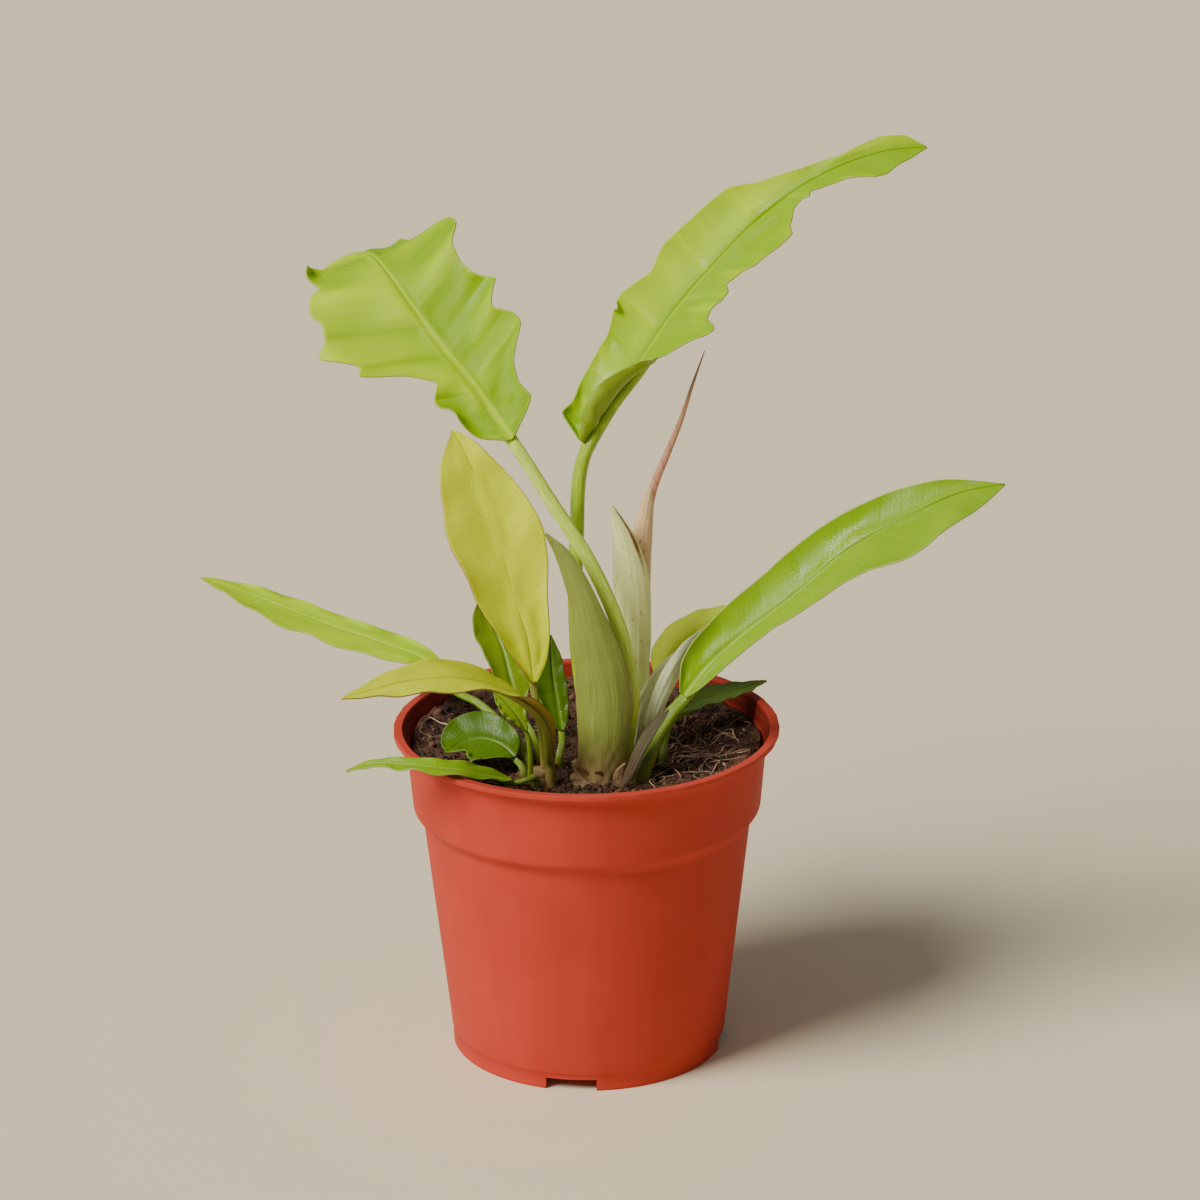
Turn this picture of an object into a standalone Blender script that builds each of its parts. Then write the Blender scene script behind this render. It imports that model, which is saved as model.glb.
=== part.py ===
"""Potted philodendron: a young leafy plant in a plastic nursery pot.

The pot's axis is the Z axis and its foot stands on Z = 0. The plant is described in
millimetres above the soil line, so it follows the soil when the pot's height changes.
"""

import math

import bmesh
import bpy
import numpy as np

MM = 0.001

# Pot, in metres
POT_HEIGHT = 0.105
RIM_RADIUS = 0.060
RIM_LIP = 0.004          # how far the rim stands out past the collar
RIM_DEPTH = 0.004
COLLAR_HEIGHT = 0.0245   # from the pot's top down to the step
COLLAR_TAPER = 0.0017
STEP_INSET = 0.0033      # how far the body sits in under the collar
STEP_HEIGHT = 0.0065
FOOT_RADIUS = 0.0430
SKIRT_HEIGHT = 0.0055
SEAM_DEPTH = 0.0003
WALL = 0.0010
FLOOR_THICKNESS = 0.0012
NOTCH_COUNT = 4
NOTCH_WIDTH = 0.016
NOTCH_HEIGHT = 0.0038
NOTCH_CLEARANCE = 0.0007 # solid skirt left between a notch and the floor
NOTCH_TURN = math.radians(-97.6)
DRAIN_COUNT = 8
DRAIN_RADIUS = 0.004
DRAIN_CIRCLE = 0.030

# Filling and plant, in metres
SOIL_DROP = 0.007        # from the pot's top down to the soil line
SOIL_WAVE = 0.0009
GAP = 0.0003             # between pieces that touch
CROWN_RADIUS = 0.012
SIDE_CROWN_RADIUS = 0.008
CROWN_DEPTH = 0.022
CROWN_CENTRE = (0.006, -0.024)
CROWN_SPACING = 0.0015   # soil left between the two crowns
SIDE_CROWN_TURN = math.radians(177.3)
BLADE_THICKNESS = 0.0008
SHEATH_THICKNESS = 0.0007

SOIL_LINE = POT_HEIGHT - SOIL_DROP
FLOOR_HEIGHT = NOTCH_HEIGHT + NOTCH_CLEARANCE
CROWN_DISTANCE = CROWN_RADIUS + SIDE_CROWN_RADIUS + CROWN_SPACING
SIDE_CROWN_CENTRE = (CROWN_CENTRE[0] + CROWN_DISTANCE * math.cos(SIDE_CROWN_TURN),
                     CROWN_CENTRE[1] + CROWN_DISTANCE * math.sin(SIDE_CROWN_TURN))
TURN_STEPS = 48

LIME = (0.45, 0.62, 0.05)
GREEN = (0.26, 0.46, 0.05)
DARK_GREEN = (0.09, 0.22, 0.03)
YELLOW = (0.55, 0.52, 0.08)
PALE = (0.45, 0.50, 0.27)
TAN = (0.50, 0.33, 0.18)


def clear_scene():
    for obj in list(bpy.data.objects):
        bpy.data.objects.remove(obj, do_unlink=True)


def new_collection(name):
    collection = bpy.data.collections.new(name)
    bpy.context.scene.collection.children.link(collection)
    return collection


def material(name, colour, roughness):
    made = bpy.data.materials.get(name) or bpy.data.materials.new(name)
    made.use_nodes = True
    shader = made.node_tree.nodes["Principled BSDF"]
    shader.inputs["Base Color"].default_value = (*colour, 1)
    shader.inputs["Roughness"].default_value = roughness
    shader.inputs["Metallic"].default_value = 0
    return made


def add(name, data, look, collection):
    obj = bpy.data.objects.new(name, data)
    collection.objects.link(obj)
    if look:
        data.materials.append(look)
    return obj


def mesh_from(bm, name):
    mesh = bpy.data.meshes.new(name)
    bm.to_mesh(mesh)
    bm.free()
    return mesh


def evaluated_mesh(obj):
    """The object's mesh with its modifiers applied and its loose caps welded."""
    graph = bpy.context.evaluated_depsgraph_get()
    mesh = bpy.data.meshes.new_from_object(obj.evaluated_get(graph))
    bm = bmesh.new()
    bm.from_mesh(mesh)
    bmesh.ops.remove_doubles(bm, verts=bm.verts, dist=1e-5)
    bm.to_mesh(mesh)
    bm.free()
    return mesh


def turned(name, profile, look, collection):
    """A closed outline of (radius, height) turned about the pot's axis."""
    bm = bmesh.new()
    ring = [bm.verts.new((radius, 0, height)) for radius, height in profile]
    for first, second in zip(ring, ring[1:]):
        bm.edges.new((first, second))
    if profile[0][0] > 0:
        bm.edges.new((ring[-1], ring[0]))
    obj = add(name, mesh_from(bm, name), look, collection)
    screw = obj.modifiers.new("turn", "SCREW")
    screw.steps = screw.render_steps = TURN_STEPS
    screw.use_merge_vertices = True
    screw.merge_threshold = 1e-5
    return obj


def cut(obj, cutter, name):
    boolean = obj.modifiers.new(name, "BOOLEAN")
    boolean.operation = "DIFFERENCE"
    boolean.object = cutter


def as_cutter(obj):
    obj.hide_render = True
    obj.display_type = "WIRE"


# --- pot -------------------------------------------------------------------------------

COLLAR_TOP = POT_HEIGHT - RIM_DEPTH
COLLAR_BOTTOM = POT_HEIGHT - COLLAR_HEIGHT
COLLAR_TOP_RADIUS = RIM_RADIUS - RIM_LIP
COLLAR_BOTTOM_RADIUS = COLLAR_TOP_RADIUS - COLLAR_TAPER
BODY_TOP = COLLAR_BOTTOM - STEP_HEIGHT
BODY_TOP_RADIUS = COLLAR_BOTTOM_RADIUS - STEP_INSET


def body_radius(height):
    """The pot body's outer radius, a straight taper from the foot to the step."""
    share = height / BODY_TOP
    return FOOT_RADIUS + SEAM_DEPTH + (BODY_TOP_RADIUS - FOOT_RADIUS - SEAM_DEPTH) * share


def outer_wall():
    """The outside from the rim's edge down to the foot."""
    return [
        (RIM_RADIUS - 0.0004, POT_HEIGHT),
        (RIM_RADIUS, POT_HEIGHT - 0.0005),
        (RIM_RADIUS, POT_HEIGHT - 0.0017),
        (COLLAR_TOP_RADIUS + 0.0012, COLLAR_TOP + 0.0012),
        (COLLAR_TOP_RADIUS, COLLAR_TOP),
        (COLLAR_BOTTOM_RADIUS, COLLAR_BOTTOM),
        (COLLAR_BOTTOM_RADIUS - 0.35 * STEP_INSET, COLLAR_BOTTOM - 0.0020),
        (COLLAR_BOTTOM_RADIUS - 0.85 * STEP_INSET, COLLAR_BOTTOM - 0.0040),
        (BODY_TOP_RADIUS, BODY_TOP),
        (body_radius(SKIRT_HEIGHT), SKIRT_HEIGHT + SEAM_DEPTH),
        (body_radius(SKIRT_HEIGHT) - SEAM_DEPTH, SKIRT_HEIGHT),
        (FOOT_RADIUS, 0),
    ]


def inner_wall():
    """The inside from the floor up to the rim's flat top."""
    return [
        (body_radius(FLOOR_HEIGHT + FLOOR_THICKNESS) - WALL, FLOOR_HEIGHT + FLOOR_THICKNESS),
        (BODY_TOP_RADIUS - WALL, BODY_TOP + 0.0004),
        (COLLAR_BOTTOM_RADIUS - WALL, COLLAR_BOTTOM - 0.0006),
        (COLLAR_TOP_RADIUS - WALL, COLLAR_TOP - 0.0010),
        (RIM_RADIUS - 0.0029, POT_HEIGHT - 0.0007),
        (RIM_RADIUS - 0.0026, POT_HEIGHT),
    ]


def foot_notches(collection):
    bm = bmesh.new()
    for index in range(NOTCH_COUNT):
        turn = NOTCH_TURN + index * 2 * math.pi / NOTCH_COUNT
        made = bmesh.ops.create_cube(bm, size=1)["verts"]
        for vert in made:
            along = FOOT_RADIUS + vert.co.x * 0.012
            across = vert.co.y * NOTCH_WIDTH
            vert.co = (
                along * math.cos(turn) - across * math.sin(turn),
                along * math.sin(turn) + across * math.cos(turn),
                vert.co.z * 2 * NOTCH_HEIGHT,
            )
    return add("foot_notches", mesh_from(bm, "foot_notches"), None, collection)


def drain_holes(collection):
    bm = bmesh.new()
    for index in range(DRAIN_COUNT):
        turn = (index + 0.5) * 2 * math.pi / DRAIN_COUNT
        made = bmesh.ops.create_cone(
            bm, cap_ends=True, segments=12, radius1=DRAIN_RADIUS, radius2=DRAIN_RADIUS,
            depth=6 * FLOOR_THICKNESS,
        )["verts"]
        centre = (DRAIN_CIRCLE * math.cos(turn), DRAIN_CIRCLE * math.sin(turn),
                  FLOOR_HEIGHT + FLOOR_THICKNESS / 2)
        bmesh.ops.translate(bm, verts=made, vec=centre)
    return add("drain_holes", mesh_from(bm, "drain_holes"), None, collection)


def make_pot(parts, cutters):
    skirt_inner = FOOT_RADIUS - WALL
    floor = [(0, FLOOR_HEIGHT + FLOOR_THICKNESS)]
    under = [(skirt_inner, 0), (skirt_inner, FLOOR_HEIGHT), (0, FLOOR_HEIGHT)]
    profile = floor + inner_wall() + outer_wall() + under
    pot = turned("pot", profile, material("terracotta plastic", (0.56, 0.085, 0.03), 0.42), parts)
    for cutter in (foot_notches(cutters), drain_holes(cutters)):
        as_cutter(cutter)
        cut(pot, cutter, cutter.name)


# --- crowns and soil -------------------------------------------------------------------

def crown_profile(radius, extra):
    """A stubby rounded stem: domed top just over the soil, blunt end below it."""
    top, bottom = 1.2 * MM + extra, -CROWN_DEPTH - extra
    wide = radius + extra
    return [(0, bottom), (0.45 * wide, bottom), (0.8 * wide, 0.6 * bottom), (wide, 0.2 * bottom),
            (wide, -0.0030), (0.8 * wide, -0.0004), (0.4 * wide, 0.7 * top), (0, top)][::-1]


def stem_stub(name, centre, radius, extra, look, collection):
    obj = turned(name, crown_profile(radius, extra), look, collection)
    obj.modifiers["turn"].steps = obj.modifiers["turn"].render_steps = 20
    obj.location = (*centre, SOIL_LINE)
    return obj


def soil_height(x, y):
    """The soil's uneven top: two crossing waves, and a dip in front of the crown."""
    wave = np.sin(170 * x + 1.1) * np.cos(150 * y - 0.4) + 0.6 * np.sin(260 * x - 210 * y)
    dip = np.exp(-((x + 0.010) ** 2 + (y + 0.036) ** 2) / 0.018 ** 2)
    return SOIL_LINE - 0.0012 + SOIL_WAVE * wave - 0.0012 * dip


def make_soil(parts, cutters):
    edge = inner_wall()
    lower = edge[0][1] + GAP
    top_radius = COLLAR_TOP_RADIUS - COLLAR_TAPER * (COLLAR_TOP - SOIL_LINE) / (COLLAR_TOP - COLLAR_BOTTOM)
    top_radius -= WALL + 2 * GAP
    profile = [(0, SOIL_LINE)]
    profile += [(top_radius * share, SOIL_LINE) for share in (0.16, 0.32, 0.48, 0.64, 0.8, 0.92, 1)]
    profile += [(edge[2][0] - 2 * GAP, edge[2][1] + GAP), (edge[1][0] - 2 * GAP, edge[1][1] - GAP),
                (edge[0][0] - 2 * GAP, lower), (0, lower)]
    soil = turned("soil", profile, None, parts)
    mesh = evaluated_mesh(soil)
    bpy.data.objects.remove(soil)
    places = np.empty(len(mesh.vertices) * 3)
    mesh.vertices.foreach_get("co", places)
    places = places.reshape(-1, 3)
    top = places[:, 2] > SOIL_LINE - 1e-5
    places[top, 2] = soil_height(places[top, 0], places[top, 1])
    mesh.vertices.foreach_set("co", places.ravel())
    soil = add("soil", mesh, material("peat and coir", (0.045, 0.022, 0.012), 0.95), parts)
    for name, centre, radius in (("crown_hollow", CROWN_CENTRE, CROWN_RADIUS),
                                 ("side_crown_hollow", SIDE_CROWN_CENTRE, SIDE_CROWN_RADIUS)):
        hollow = stem_stub(name, centre, radius, GAP, None, cutters)
        as_cutter(hollow)
        cut(soil, hollow, name)


def make_crowns(parts):
    look = material("woody crown", (0.16, 0.12, 0.05), 0.7)
    stem_stub("crown", CROWN_CENTRE, CROWN_RADIUS, 0, look, parts)
    stem_stub("side_crown", SIDE_CROWN_CENTRE, SIDE_CROWN_RADIUS, 0, look, parts)


# --- leaves, stalks and sheaths --------------------------------------------------------

def smooth_path(points, count):
    """count + 1 points evenly along a smooth curve (cubic, through every given point)."""
    given = np.asarray(points, float)
    along = np.r_[0, np.cumsum(np.linalg.norm(np.diff(given, axis=0), axis=1))]
    along /= along[-1]
    slope = np.gradient(given, along, axis=0)
    share = np.linspace(0, 1, count + 1)
    index = np.clip(np.searchsorted(along, share, side="right") - 1, 0, len(along) - 2)
    step = (along[index + 1] - along[index])[:, None]
    u = ((share - along[index]) / (along[index + 1] - along[index]))[:, None]
    return ((2 * u**3 - 3 * u**2 + 1) * given[index] + (u**3 - 2 * u**2 + u) * step * slope[index]
            + (3 * u**2 - 2 * u**3) * given[index + 1] + (u**3 - u**2) * step * slope[index + 1])


def unit(vectors):
    return vectors / np.linalg.norm(vectors, axis=-1, keepdims=True)


def surface(spine, left, right, facing, cup, sweep, rows, columns):
    """Points of a blade or a sheath, as rows along the midrib and columns across it.

    The midrib follows spine. left and right give (share along the midrib, half-width). Each
    half bends up out of the midrib in an arc of cup radians towards facing, and leans forward
    by sweep times its width. facing lists (share, direction that the upper face looks).
    """
    middle = smooth_path(spine, rows)
    share = np.linspace(0, 1, rows + 1)
    forward = unit(np.gradient(middle, axis=0))
    looks = np.stack([np.interp(share, [f[0] for f in facing], [f[1][i] for f in facing])
                      for i in range(3)], axis=1)
    up = unit(looks - np.sum(looks * forward, axis=1, keepdims=True) * forward)
    side = np.cross(forward, up)
    across = np.linspace(-1, 1, columns + 1)
    halves = [np.interp(share, *zip(*half)) for half in (left, right)]
    width = np.where(across < 0, halves[0][:, None], halves[1][:, None]) * np.abs(across)
    bend = np.interp(share, np.linspace(0, 1, len(cup)), cup)[:, None]
    out = width * np.sin(bend * np.abs(across)) / (bend * np.maximum(np.abs(across), 1e-6))
    rise = width * (1 - np.cos(bend * np.abs(across))) / (bend * np.maximum(np.abs(across), 1e-6))
    return (middle[:, None] + side[:, None] * (np.sign(across) * out)[..., None]
            + up[:, None] * rise[..., None] + forward[:, None] * (sweep * width)[..., None])


def to_plant(points):
    """From millimetres about the pot's axis above the soil line to metres in the pot's frame."""
    return np.asarray(points, float) * MM + np.array([0, 0, SOIL_LINE])


def sheet(name, look, parts, thickness, rows, columns, **shape):
    """A blade or a sheath: a grid laid on its surface and given its thickness."""
    places = to_plant(surface(rows=rows, columns=columns, **shape))
    bm = bmesh.new()
    bmesh.ops.create_grid(bm, x_segments=columns, y_segments=rows, size=1)
    for vert in bm.verts:
        column = round((vert.co.x + 1) / 2 * columns)
        row = round((vert.co.y + 1) / 2 * rows)
        vert.co = places[row, column]
    obj = add(name, mesh_from(bm, name), look, parts)
    solid = obj.modifiers.new("thickness", "SOLIDIFY")
    solid.thickness = thickness
    solid.offset = 0
    obj.data.shade_smooth()
    return obj


def stalk(name, look, parts, points, radii, count=9):
    """A round stalk that tapers evenly from its foot to its far end."""
    places = to_plant(smooth_path(points, count))
    data = bpy.data.curves.new(name, "CURVE")
    data.dimensions = "3D"
    data.bevel_depth = 1
    data.bevel_resolution = 2
    data.use_fill_caps = True
    spline = data.splines.new("POLY")
    spline.points.add(count)
    for index, (point, place) in enumerate(zip(spline.points, places)):
        point.co = (*place, 1)
        point.radius = (radii[0] + (radii[1] - radii[0]) * index / count) * MM
    return add(name, data, look, parts)


def leaf(name, parts, colour, foot, stalk_radii, rows=12, columns=4, **shape):
    """One leaf: its stalk runs from foot to the blade's base, and stops GAP short of it."""
    look = material("leaf " + name, colour, 0.35)
    sheet(name + "_blade", look, parts, BLADE_THICKNESS, rows, columns, **shape)
    base = np.array(shape["spine"][0], float)
    path = [*foot[:-1], base - unit(base - np.array(foot[-1])) * (GAP / MM + 0.3), ]
    path.insert(-1, foot[-1])
    stalk(name + "_stalk", look, parts, path, stalk_radii)


def make_leaves(parts):
    rim = SOIL_DROP / MM  # height of the rim above the soil line
    leaf("lobed_left", parts, LIME, [(10.5, -21, 2), (12, -21.5, 12), (12.8, -21.5, 24),
         (9, -20, 42), (1.5, -14, 62.5), (-11, -6, 83)], (2.6, 1.8), rows=34, columns=6,
         spine=[(-22, 0, 100), (-34.5, 12, 115), (-44.5, 20, 125.5), (-53, 29, 135),
                (-60, 39, 142), (-65.5, 50, 145), (-70, 61, 141.5), (-74, 68, 132), (-76, 71, 123)],
         left=[(0, 1.5), (.03, 8), (.08, 12.5), (.17, 12.5), (.22, 8.5), (.27, 15), (.32, 22), (.35, 30),
               (.375, 33.5), (.41, 29), (.47, 26.5), (.51, 28), (.56, 25), (.62, 18), (.7, 14),
               (.85, 10), (1, 1)],
         right=[(0, 1.5), (.015, 13), (.08, 12.5), (.12, 15), (.16, 24), (.2, 23.5), (.25, 19.5),
                (.285, 26.5), (.36, 21.5), (.42, 20), (.48, 23), (.54, 24), (.59, 21), (.63, 12),
                (.75, 11), (.88, 8), (1, 1)],
         facing=[(0, (-.1, -.85, .5)), (.5, (-.1, -.8, .6)), (.75, (0, -.4, .9)), (1, (.1, .3, .9))],
         cup=(.3, .3, .2, -.3, -.3), sweep=.35)
    leaf("lobed_right", parts, LIME, [(0, -18, 2), (0, -18, 13.5), (-2.8, -10, 38.5), (-2.7, -1, 68)],
         (2.7, 2.3), rows=32, columns=6,
         spine=[(-.7, 6, 97), (6.5, 9, 108), (15.5, 12, 118.5), (28, 14, 136.5), (40.5, 15, 151),
                (53, 16, 164), (65.5, 17, 173.5), (78, 18, 180), (91, 19, 184), (104, 20, 185)],
         left=[(0, 2), (.01, 12), (.06, 11), (.1, 12.5), (.15, 14.5), (.2, 15.5), (.25, 18), (.28, 17.5),
               (.35, 13.5), (.4, 16.5), (.53, 15), (.58, 14), (.64, 9), (.73, 5), (.82, 3), (.9, 5),
               (.95, 4.5), (1, .6)],
         right=[(0, 2), (.03, 9), (.1, 12), (.17, 10), (.22, 13), (.26, 13.5), (.33, 18), (.355, 13),
                (.43, 11.5), (.455, 9.5), (.52, 14), (.62, 15), (.67, 6.5), (.73, 5), (.8, 7.5),
                (.86, 11.5), (.95, 5), (1, .6)],
         facing=[(0, (-.85, -.45, .3)), (.17, (-.8, -.5, .35)), (.35, (-.45, -.75, .5)),
                 (1, (-.35, -.6, .75))],
         cup=(1.6, .8, .5, .5, .5, .5, .5), sweep=.25)
    leaf("long_right", parts, GREEN, [(17, -28.5, 2), (18.8, -27.5, 6), (21.5, -25, 12.3),
         (25.4, -23, 18.8)], (2.3, 1.9), rows=18, columns=6,
         spine=[(29.6, -22, 24.6), (37, -19, 33.3), (47, -17, 42), (63.5, -15, 54.5), (78.5, -14, 67.5),
                (96.5, -13, 78), (114.5, -12, 86), (127, -12, 88.3)],
         left=[(0, 1.5), (.04, 6.4), (.1, 8.5), (.25, 10.5), (.4, 12), (.6, 11), (.72, 10), (.83, 7),
               (.93, 2.6), (1, .6)],
         right=[(0, 1.5), (.05, 5), (.16, 6), (.3, 9), (.42, 10.5), (.55, 14.5), (.67, 20), (.74, 19.5),
                (.8, 16), (.93, 9), (1, .6)],
         facing=[(0, (-.5, -.8, .2)), (.3, (-.4, -.6, .7)), (1, (-.3, -.5, .8))],
         cup=(.8, .5), sweep=.1)
    leaf("upright", parts, YELLOW, [(-12.7, -20, 2), (-13.3, -20, 9.5), (-14.6, -19, 18.3)],
         (1.4, 1.1), rows=16, columns=6,
         spine=[(-16, -18, 27.7), (-17.5, -15, 40), (-22, -10, 54.5), (-26, -4, 69.5),
                (-31, 2, 82.5), (-36.5, 7, 94), (-40, 10, 100)],
         left=[(0, 1), (.06, 4), (.2, 9), (.36, 13), (.5, 16), (.62, 16), (.78, 13), (.91, 8), (1, .6)],
         right=[(0, 1), (.05, 4), (.12, 6), (.23, 8.5), (.4, 12.5), (.55, 14), (.7, 11), (.83, 7),
                (.93, 4), (1, .6)],
         facing=[(0, (.2, -.9, .2)), (1, (.2, -.9, .4))], cup=(.5, .3), sweep=.1)
    leaf("dark_back", parts, DARK_GREEN, [(-14.5, -13.5, 2), (-16.5, -11, 8)], (1.1, .9),
         spine=[(-20, -7, 14), (-23.5, -2, 24), (-25.5, 3, 30.5), (-28.5, 8, 36.5), (-32, 13, 45)],
         left=[(0, .8), (.2, 5), (.5, 7), (.75, 7), (.9, 4.5), (1, .6)],
         right=[(0, .8), (.2, 6), (.5, 8), (.75, 6), (.9, 3.5), (1, .6)],
         facing=[(0, (.3, -.9, .2))], cup=(.5, .3), sweep=.1)
    leaf("yellow", parts, YELLOW, [(-11, -29, 2), (-11, -29, 5)], (1.5, 1.2), rows=16, columns=4,
         spine=[(-11, -30, 9.5), (-12.3, -33, 20.4), (-18, -38, 29.4), (-25.4, -45, 36.2),
                (-37, -54, 42.7), (-54.5, -63, 45), (-71.5, -72, 43.6)],
         left=[(0, 1), (.2, 4), (.4, 7), (.58, 10), (.7, 9), (.85, 6), (1, .6)],
         right=[(0, 1), (.2, 4), (.37, 6), (.53, 9), (.65, 8), (.81, 5), (1, .6)],
         facing=[(0, (.8, .5, 0)), (.3, (.6, .1, .6)), (.5, (.1, -.25, .95)), (1, (0, -.35, .9))],
         cup=(.4, .3), sweep=.1)
    leaf("dark_middle", parts, DARK_GREEN, [(-8.3, -14, 2), (-7.6, -12, 5)], (1.2, 1),
         spine=[(-7.6, -9, 8.6), (-9, -5, 17), (-10.5, 0, 26.5), (-11, 4, 35.3)],
         left=[(0, .8), (.15, 4.5), (.45, 6.5), (.75, 5), (1, .6)],
         right=[(0, .8), (.15, 3), (.45, 4), (.75, 3.5), (1, .6)],
         facing=[(0, (.1, -.9, .2))], cup=(.6, .4), sweep=.1)
    leaf("pale_back", parts, GREEN, [(20, 7.5, 2), (21, 8, 10)], (1.3, 1),
         spine=[(22.5, 8, 17.8), (27, 11, 26), (34.3, 15, 32), (43.7, 19, 36), (52.2, 23, 38)],
         left=[(0, .8), (.12, 7), (.35, 9), (.6, 7), (.85, 3), (1, .6)],
         right=[(0, .8), (.12, 4), (.4, 7), (.7, 6), (.88, 3), (1, .6)],
         facing=[(0, (-.5, -.7, .5))], cup=(.4, .3), sweep=.1)
    leaf("low_right", parts, DARK_GREEN, [(23.5, -15, 2), (24.5, -11, 7)], (1.1, .9),
         spine=[(27.5, -5, 12), (36, 6, 12), (47, 18, 11), (57, 28, 10.5)],
         left=[(0, .6), (.15, 4), (.45, 6), (.75, 4), (1, .6)],
         right=[(0, .6), (.15, 3.5), (.45, 5), (.75, 3.5), (1, .6)],
         facing=[(0, (-.2, -.4, .9))], cup=(.5, .3), sweep=.1)
    leaf("long_left", parts, LIME, [(-18, -20, 2), (-20.5, -15, 6.5), (-26, -8, 10.5), (-33, -1, 14.5)],
         (1.4, 1.2), rows=14,
         spine=[(-42, 7, 18), (-49, 15, 22.5), (-63, 28, 24), (-80, 42, 25), (-101, 57, 28),
                (-124.5, 73, 31)],
         left=[(0, .8), (.12, 6), (.3, 9), (.5, 9.5), (.66, 9), (.85, 5), (1, .6)],
         right=[(0, .8), (.12, 4), (.3, 5.5), (.45, 5), (.65, 5), (.8, 4.5), (.92, 2.5), (1, .6)],
         facing=[(0, (.1, -.5, .9)), (1, (.1, -.35, .95))], cup=(.3, .2), sweep=.1)
    leaf("low_left", parts, DARK_GREEN, [(-19.3, -26.5, 2), (-20, -25.5, 3.5)], (1.1, .9), rows=10,
         spine=[(-22, -24, 6), (-26, -20.5, 8.5), (-32, -17.5, 9.5), (-39, -18, 8.2), (-43, -21, 6.5)],
         left=[(0, .8), (.15, 5), (.4, 8), (.7, 8), (.9, 5), (1, 1)],
         right=[(0, .8), (.2, 4), (.5, 8), (.7, 7), (.9, 4), (1, 1)],
         facing=[(0, (.1, -.5, .8)), (.5, (-.1, -.5, .85)), (1, (-.6, -.5, .5))],
         cup=(.4, .4), sweep=.1)
    leaf("over_rim", parts, GREEN, [(-15.5, -31, 2), (-18, -33, 2)], (1, .8), rows=14,
         spine=[(-22.5, -34.5, 2.6), (-31.5, -39, rim - .7), (-37.5, -41.5, rim + 1.8),
                (-43.5, -42.5, rim + 2.8), (-55.5, -41, rim + 3.5), (-65, -38, rim + 2.4),
                (-73, -35, rim - 1)],
         left=[(0, .6), (.15, 3), (.4, 3.6), (.7, 3), (.9, 1.5), (1, .5)],
         right=[(0, .6), (.15, 3), (.4, 3), (.7, 2.5), (.9, 1.3), (1, .5)],
         facing=[(0, (0, -.3, .95))], cup=(.4, .3), sweep=.1)
    leaf("tiny", parts, DARK_GREEN, [(-17.2, -29.6, 2), (-17.2, -28.5, 9)], (.8, .7), rows=8,
         spine=[(-18.4, -28, 16), (-21, -27, 20.7), (-24.6, -25.5, 24.5), (-28, -24, 27)],
         left=[(0, .5), (.25, 2.5), (.5, 4), (.8, 2.5), (1, .5)],
         right=[(0, .5), (.25, 2.5), (.5, 4), (.8, 2.5), (1, .5)],
         facing=[(0, (0, -.8, .6))], cup=(.4, .3), sweep=.1)


def sheath(name, parts, colour, widths, rows=12, columns=6, **shape):
    look = material("sheath " + name, colour, 0.55)
    sheet(name, look, parts, SHEATH_THICKNESS, rows, columns, left=widths, right=widths,
          sweep=0, **shape)


def make_sheaths(parts):
    sheath("front_sheath", parts, PALE, [(0, 8.5), (.3, 10.3), (.5, 8.6), (.7, 5), (.88, 3), (1, .5)],
           rows=14, spine=[(4, -32, 2.5), (4.5, -32, 14.5), (5, -31, 27), (2.8, -28, 43.5), (-2.2, -23, 61),
           (-7.7, -19, 70.7), (-12, -17, 75.7)],
           facing=[(0, (.15, .95, .1)), (1, (.25, .9, .1))], cup=(1, 1, .9, .6))
    sheath("pale_sheath", parts, PALE, [(0, 6), (.3, 7), (.6, 6.5), (.8, 4), (1, .5)],
           spine=[(15.2, -9, 20), (15, -8, 35), (14.6, -5, 53), (12, -2, 68), (8, 0, 79)],
           facing=[(0, (-.1, .95, .1))], cup=(1.5, 1.4, 1, .6))
    sheath("side_sheath_front", parts, PALE, [(0, 3), (.3, 4), (.6, 4), (.85, 2.5), (1, .5)],
           spine=[(18, -20.5, 8), (20, -20, 17), (25, -17.5, 27), (31, -13.5, 36), (35.5, -10, 41.5)],
           facing=[(0, (-.4, .7, .3))], cup=(1.3, 1, .6))
    sheath("side_sheath_back", parts, PALE, [(0, 3), (.3, 4), (.6, 3.5), (.85, 2), (1, .5)],
           spine=[(16.5, -15, 9), (18.5, -13, 18.5), (24, -9.5, 28), (32, -4, 35)],
           facing=[(0, (-.4, .7, .5))], cup=(1.2, .8, .5))
    sheath("dry_sheath", parts, TAN, [(0, 2), (.3, 3), (.6, 2.8), (.85, 1.8), (1, .5)], rows=8,
           spine=[(12.5, -33.5, 4.5), (16, -32.5, 12.5), (20.5, -31, 19), (25, -29, 22.7)],
           facing=[(0, (.6, .3, .3))], cup=(1.2, 1, .8))
    sheath("spike_sheath", parts, TAN, [(0, 3.2), (.5, 3.4), (.8, 2.8), (.95, 1.6), (1, .5)],
           spine=[(18.5, -1.5, 2.5), (16.8, 0, 35), (16.8, 2, 50.5), (17.9, 4, 68), (20.2, 6, 82)],
           facing=[(0, (0, .95, .1))], cup=(1.4, 1.4, 1.2))
    stalk("new_leaf_spike", material("new leaf", (0.42, 0.17, 0.10), 0.45), parts,
          [(17, 4.4, 50), (18.4, 6.4, 67), (21.3, 8.5, 82), (25.3, 10, 91.5), (29.8, 11.5, 102.5),
           (32.8, 13, 111.5), (37, 15, 123)], (1.3, .3), count=14)


clear_scene()
plant_parts = new_collection("potted philodendron")
cutter_parts = new_collection("cutters")
cutter_parts.hide_render = True
make_pot(plant_parts, cutter_parts)
make_soil(plant_parts, cutter_parts)
make_crowns(plant_parts)
make_leaves(plant_parts)
make_sheaths(plant_parts)
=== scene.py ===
"""A young philodendron in a plastic nursery pot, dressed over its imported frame."""

import math

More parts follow.
